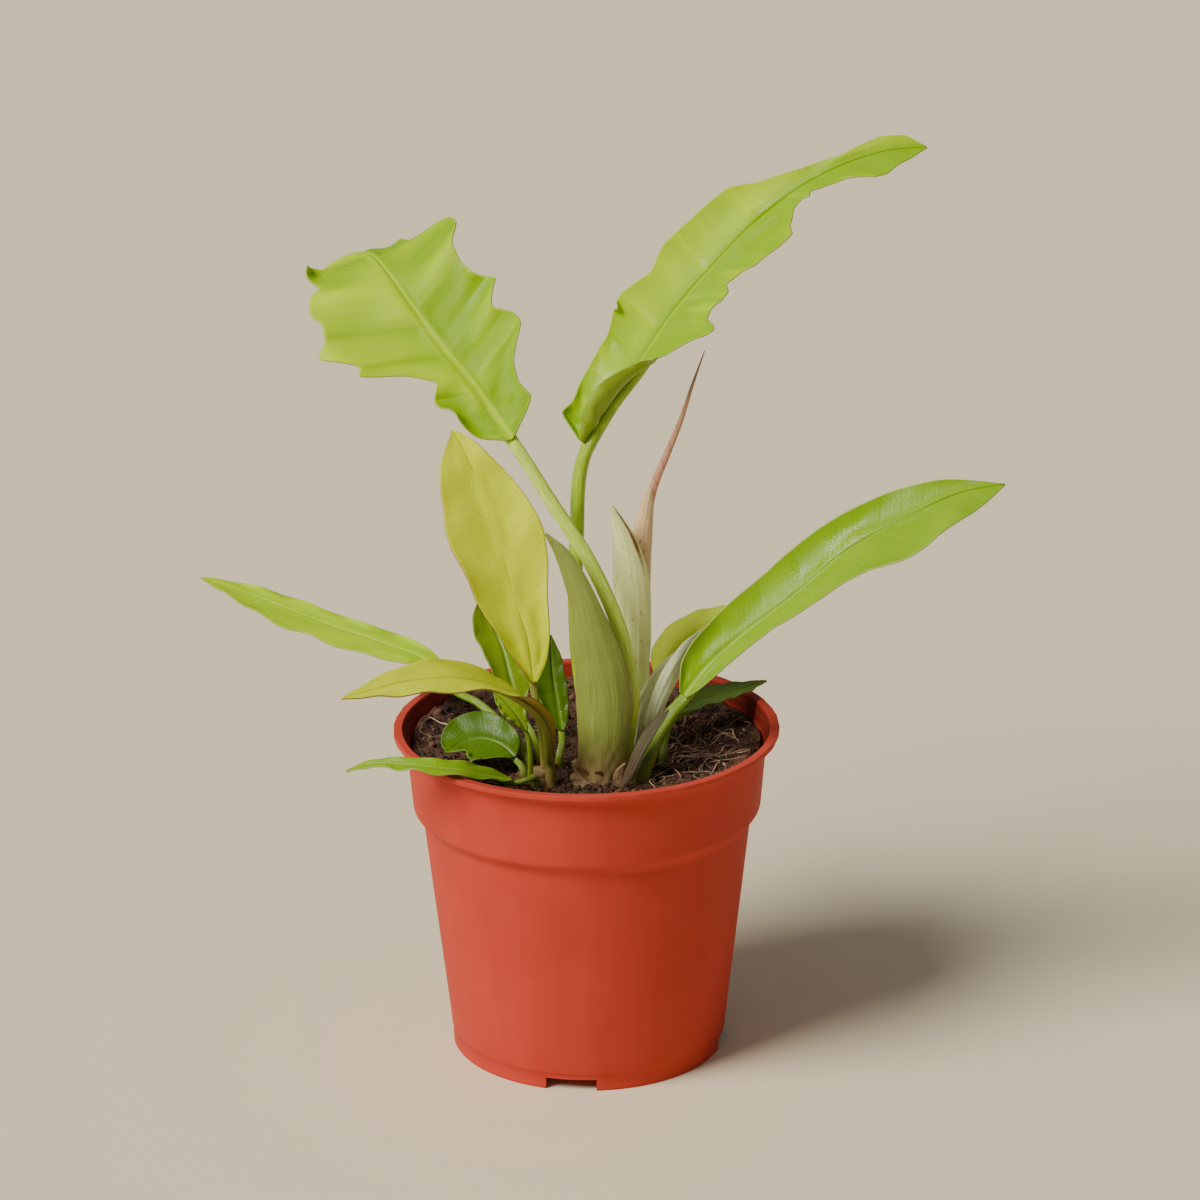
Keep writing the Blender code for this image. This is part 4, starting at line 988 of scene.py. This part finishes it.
def sheath_look(name, body, dark, foot, speck, gloss=0.45, scar=None):
    """Papery tissue: fine lengthwise fibres, brown specks, a dried pinkish foot and margin.

    scar (centre, low, high) is a ragged brown strip near that share of the width, from low to
    high in mm along the piece.
    """
    made, tree, shader, place = new_look(name)
    along, across = attribute(tree, "along"), attribute(tree, "across")
    fibre = lengthwise(across, along, 22.0, 0.05, 1.6)
    colour = blend(spread(fibre, 0.36, 0.66), dark, body)
    clouds = noise(place, 130.0, 3.0)
    colour = blend(spread(clouds, 0.45, 0.75, 0, 0.5), colour, dark)
    low = spread(along, 2.0, 17.0, 1, 0)
    colour = blend(times(low, spread(fibre, 0.3, 0.6, 0.4, 1.0)), colour, foot)
    specks = noise(stretched(place, (1, 1, 0.5)), 800.0, 2.0)
    colour = blend(spread(specks, 0.64, 0.72, 0, 0.7), colour, speck)
    if scar:
        centre, low_end, high_end = scar
        away = times(times(across, -centre, "ADD"), 0.0, "ABSOLUTE")
        ragged = times(away, times(clouds, 0.25), "SUBTRACT")
        torn = times(spread(ragged, -0.04, 0.03, 1, 0), spread(along, low_end, low_end + 9))
        torn = times(torn, spread(along, high_end - 3, high_end, 1, 0))
        colour = blend(torn, colour, (0.22, 0.085, 0.02))
    edge = spread(times(across, 0.0, "ABSOLUTE"), 0.93, 0.99, 0, 0.8)
    colour = blend(edge, colour, foot)
    give(shader, Base_Color=colour, Roughness=spread(fibre, 0.3, 0.7, gloss - 0.08, gloss + 0.15))
    lit_through(shader, 0.12, (0.5, 0.5, 0.2))
    raise_by(shader, fibre, 0.0004, 0.55)
    return made


def sheath(name, look, spine, widths, facing, cup, rows=110, columns=56, ridge=0.25,
           crinkle=0.5, seed=1, sink=4.0, stands_for=True):
    """A gutter-shaped scale: the leaf's sheet formula with fibres as fine ridges along it.

    crinkle puckers its lowest fifth; sink carries it down into the crown.
    """
    share = np.linspace(0, 1, rows + 1)
    first = np.array(spine[0], float)
    deep = first - unit(np.array(spine[1], float) - first) * sink
    spine = [tuple(deep)] + list(spine)
    shift = sink / 80
    widths = [(0, widths[0][1] * 0.8)] + [(shift + (1 - shift) * s, w) for s, w in widths]
    points, across, off = sheet_points(share, columns, spine, widths, widths, facing, cup, 0.0,
                                       0.03)
    along = share[:, None]
    length = np.sum(gaps(smooth_path(spine, share)))
    relief = ridge * 0.4 * np.sin(across * 17 + seed) * np.sin(math.pi * np.clip(along * 1.3, 0, 1))
    hill = uneven(along * length / 8 + seed, across * 2.2 + 30, 20 + seed)
    relief = relief + hill * ridge
    foot = np.clip(1 - along / 0.25, 0, 1)
    relief = relief + crinkle * foot * uneven(along * length / 3.5, across * 6 + 30, 40 + seed)
    relief = relief - 0.5 * ridge * np.exp(-(across / 0.06) ** 2)
    points = points + normals(points) * relief[..., None]
    marks = {"along": along * length + 0 * off, "across": across + 0 * off}
    piece = lay(name + "_scale", to_plant(points), [look], marks=marks)
    thicken(piece, SHEATH_THICKNESS * MM, second=False)
    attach(piece, "root")
    if stands_for:
        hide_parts(name)


olive_paper = sheath_look("olive sheath", (0.27, 0.315, 0.05), (0.165, 0.21, 0.02),
                          (0.42, 0.25, 0.11), (0.25, 0.13, 0.05))
pale_paper = sheath_look("pale sheath", (0.92, 0.95, 0.40), (0.74, 0.80, 0.28), (0.42, 0.38, 0.13),
                         (0.33, 0.19, 0.08), scar=(-0.72, 52, 82))
grey_paper = sheath_look("grey sheath", (0.94, 0.97, 0.60), (0.76, 0.84, 0.46), (0.40, 0.35, 0.15),
                         (0.30, 0.2, 0.1))
dry_paper = sheath_look("dry sheath", (0.36, 0.20, 0.09), (0.22, 0.12, 0.045), (0.30, 0.14, 0.06),
                        (0.14, 0.06, 0.02), 0.6)
dead_paper = sheath_look("dead sheath", (0.095, 0.075, 0.02), (0.045, 0.036, 0.01),
                         (0.12, 0.065, 0.03), (0.03, 0.02, 0.01), 0.6)
tan_paper = sheath_look("tan sheath", (0.88, 0.64, 0.34), (0.64, 0.41, 0.20), (0.40, 0.24, 0.11),
                        (0.3, 0.15, 0.07))

sheath("front_sheath", olive_paper,
       [(4, -32, 2.5), (4.5, -32, 14.5), (4.4, -31, 27), (1.7, -28, 43.5), (-3.0, -23, 61),
        (-7.9, -19, 70.7), (-12, -17, 75.7)],
       [(0, 8.5), (.3, 10.3), (.5, 8.6), (.7, 5), (.88, 3), (1, .3)],
       [(0, (.15, .95, .1)), (1, (.25, .9, .1))], (1, 1, .9, .6), crinkle=0.5, ridge=0.14, seed=1)
sheath("pale_sheath", pale_paper,
       [(15.2, -9, 20), (15, -8, 35), (14.6, -5, 53), (12, -2, 68), (8, 0, 79)],
       [(0, 6), (.3, 7), (.6, 6.5), (.8, 4), (1, .3)], [(0, (-.1, .95, .1))], (1.5, 1.4, 1, .6),
       seed=2, sink=16)
sheath("side_sheath_front", grey_paper,
       [(19.4, -20.5, 8), (21.4, -20, 17), (25.8, -17.5, 27), (31, -13.5, 36), (35.5, -10, 41.5)],
       [(0, 2.6), (.3, 3.8), (.6, 4.5), (.85, 3), (1, .3)], [(0, (-.4, .7, .3))], (1.3, 1, .6),
       seed=3, sink=8)
sheath("side_sheath_back", grey_paper,
       [(16.5, -15, 9), (18.5, -13, 18.5), (24, -9.5, 28), (32, -4, 35)],
       [(0, 3), (.3, 4), (.6, 3.5), (.85, 2), (1, .3)], [(0, (-.4, .7, .5))], (1.2, .8, .5), seed=4,
       sink=8)
sheath("dry_sheath", dead_paper,
       [(12.5, -33.5, 4.5), (16, -32.5, 12.5), (20.5, -31, 19), (25, -29, 22.7)],
       [(0, 2), (.3, 3), (.6, 2.8), (.85, 1.8), (1, .3)], [(0, (.6, .3, .3))], (1.2, 1, .8), seed=5)
sheath("spike_sheath", tan_paper,
       [(18.5, -1.5, 2.5), (16.8, 0, 35), (16.8, 2, 50.5), (17.9, 4, 68), (20.2, 6, 82)],
       [(0, 3.4), (.5, 4.2), (.8, 3.8), (.95, 2.4), (1, 1)], [(0, (0, .95, .1))], (1.4, 1.4, 1.2),
       seed=6)

for turn in range(COLLARS):
    angle = math.radians(-160 + 31 * turn + 9 * math.sin(5 * turn))
    x, y = CROWNS[0][0] + 9.5 * math.cos(angle), CROWNS[0][1] + 7.5 * math.sin(angle)
    tall, lean_out = 5.5 + 2.5 * math.sin(3 * turn), 0.25 + 0.35 * math.sin(2 * turn) ** 2
    way = np.array([math.cos(angle), math.sin(angle)])
    climb = [(x + way[0] * lean_out * tall * k * k, y + way[1] * lean_out * tall * k * k,
              -1 + (tall + 1) * k) for k in (0, .35, .7, 1)]
    sheath(f"dry_collar_{turn}", dry_paper if turn % 3 else tan_paper, climb,
           [(0, 3.4), (.5, 3.2), (.8, 2), (1, .4)], [(0, (-way[0], -way[1], .2))], (.9, .7),
           rows=30, columns=20, crinkle=0.8, seed=50 + turn, stands_for=False)


def spike_look():
    """A rolled young leaf: pinkish brown below, olive at the tip, a darker seam winding up."""
    made, tree, shader, _ = new_look("rolled new leaf")
    along, around = attribute(tree, "along"), attribute(tree, "around")
    fibre = lengthwise(around, along, 4.0, 0.12, 2.0)
    colour = blend(spread(along, 30.0, 74.0), (0.60, 0.24, 0.15), (0.34, 0.23, 0.08))
    colour = blend(spread(fibre, 0.4, 0.7, 0, 0.6), colour, (0.55, 0.30, 0.22))
    wound = times(times(along, 0.35), times(around, 0.5), "ADD")
    seam = spread(times(wound, 1.0, "PINGPONG"), 0.0, 0.12, 0.8, 0)
    colour = blend(seam, colour, (0.20, 0.07, 0.04))
    give(shader, Base_Color=colour, Roughness=0.4)
    raise_by(shader, fibre, 0.0002, 0.5)
    return made


spike_share = np.linspace(0, 1, 120)
spike_path = smooth_path([(17, 4.4, 50), (18.4, 6.4, 67), (21.3, 8.5, 82), (25.3, 10, 91.5),
                          (29.8, 11.5, 102.5), (32.8, 13, 111.5), (37, 15, 123)], spike_share)
spike_radius = SPIKE_RADIUS[0] + (SPIKE_RADIUS[1] - SPIKE_RADIUS[0]) * spike_share ** 1.5
spike = tube("rolled_leaf", spike_path, np.array([[0, -1, 0.2]]) + 0 * spike_path, spike_radius,
             spike_look(), 0.2)
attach(spike, "root")
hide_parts("new_leaf_spike")

# --- Floor, light and camera ------------------------------------------------------------
# A plain pale floor that runs on past the view, a soft distant lamp from the left front, a
# weak one from the right, and a long lens looking down at the plant.

FLOOR_REACH = 9.0
SUN_PLACE, SUN_STRENGTH, SUN_SPREAD = (-1.02, -0.60, 1.12), 4.7, math.radians(30)
FILL_PLACE, FILL_STRENGTH, FILL_SIZE = (1.2, -1.0, 0.8), 0.2, 1.0
ROOM_STRENGTH = 0.21
CAMERA_PLACE, CAMERA_AIM, CAMERA_ROLL = (0, -1.3044, 0.6086), (0.0045, 0, 0.146), math.radians(-0.4)
LENS = 135

floor_look, _, shader, _ = new_look("pale floor")
give(shader, Base_Color=(0.80, 0.69, 0.47), Roughness=0.6)
corners = FLOOR_REACH * np.array([(-1, -1, 0), (1, -1, 0), (1, 1, 0), (-1, 1, 0)])
floor = mesh_object("floor", corners, np.array([[0, 1, 2, 3]]), [floor_look])


def aim(obj, place, target, roll=0.0):
    """Puts obj at place with its -Z axis towards target, then rolls it about that axis."""
    obj.location = place
    forward = np.array(target, float) - np.array(place, float)
    turn = mathutils.Vector(forward).to_track_quat("-Z", "Y")
    obj.rotation_mode = "QUATERNION"
    obj.rotation_quaternion = turn @ mathutils.Quaternion((0, 0, 1), roll)


def lamp(kind, name, place, target, strength, size, colour=(1, 1, 1)):
    """A disk lamp of size metres, or a distant one whose light spreads over size radians."""
    data = bpy.data.lights.new(name, kind)
    data.energy, data.color = strength, colour
    if kind == "SUN":
        data.angle = size
    else:
        data.shape, data.size = "DISK", size
    obj = bpy.data.objects.new(name, data)
    bpy.context.scene.collection.objects.link(obj)
    aim(obj, place, target)


lamp("SUN", "key_lamp", SUN_PLACE, (0, 0, 0), SUN_STRENGTH, SUN_SPREAD, (1, 0.975, 0.94))
lamp("AREA", "fill_lamp", FILL_PLACE, (0, 0, 0.12), FILL_STRENGTH, FILL_SIZE)
world = bpy.data.worlds.new("soft room")
world.use_nodes = True
give(world.node_tree.nodes["Background"], Color=(0.93, 0.95, 1), Strength=ROOM_STRENGTH)
bpy.context.scene.world = world

camera = bpy.data.objects.new("camera", bpy.data.cameras.new("camera"))
camera.data.lens = LENS
camera.data.clip_start = 0.05
bpy.context.scene.collection.objects.link(camera)
aim(camera, CAMERA_PLACE, CAMERA_AIM, CAMERA_ROLL)
bpy.context.scene.camera = camera
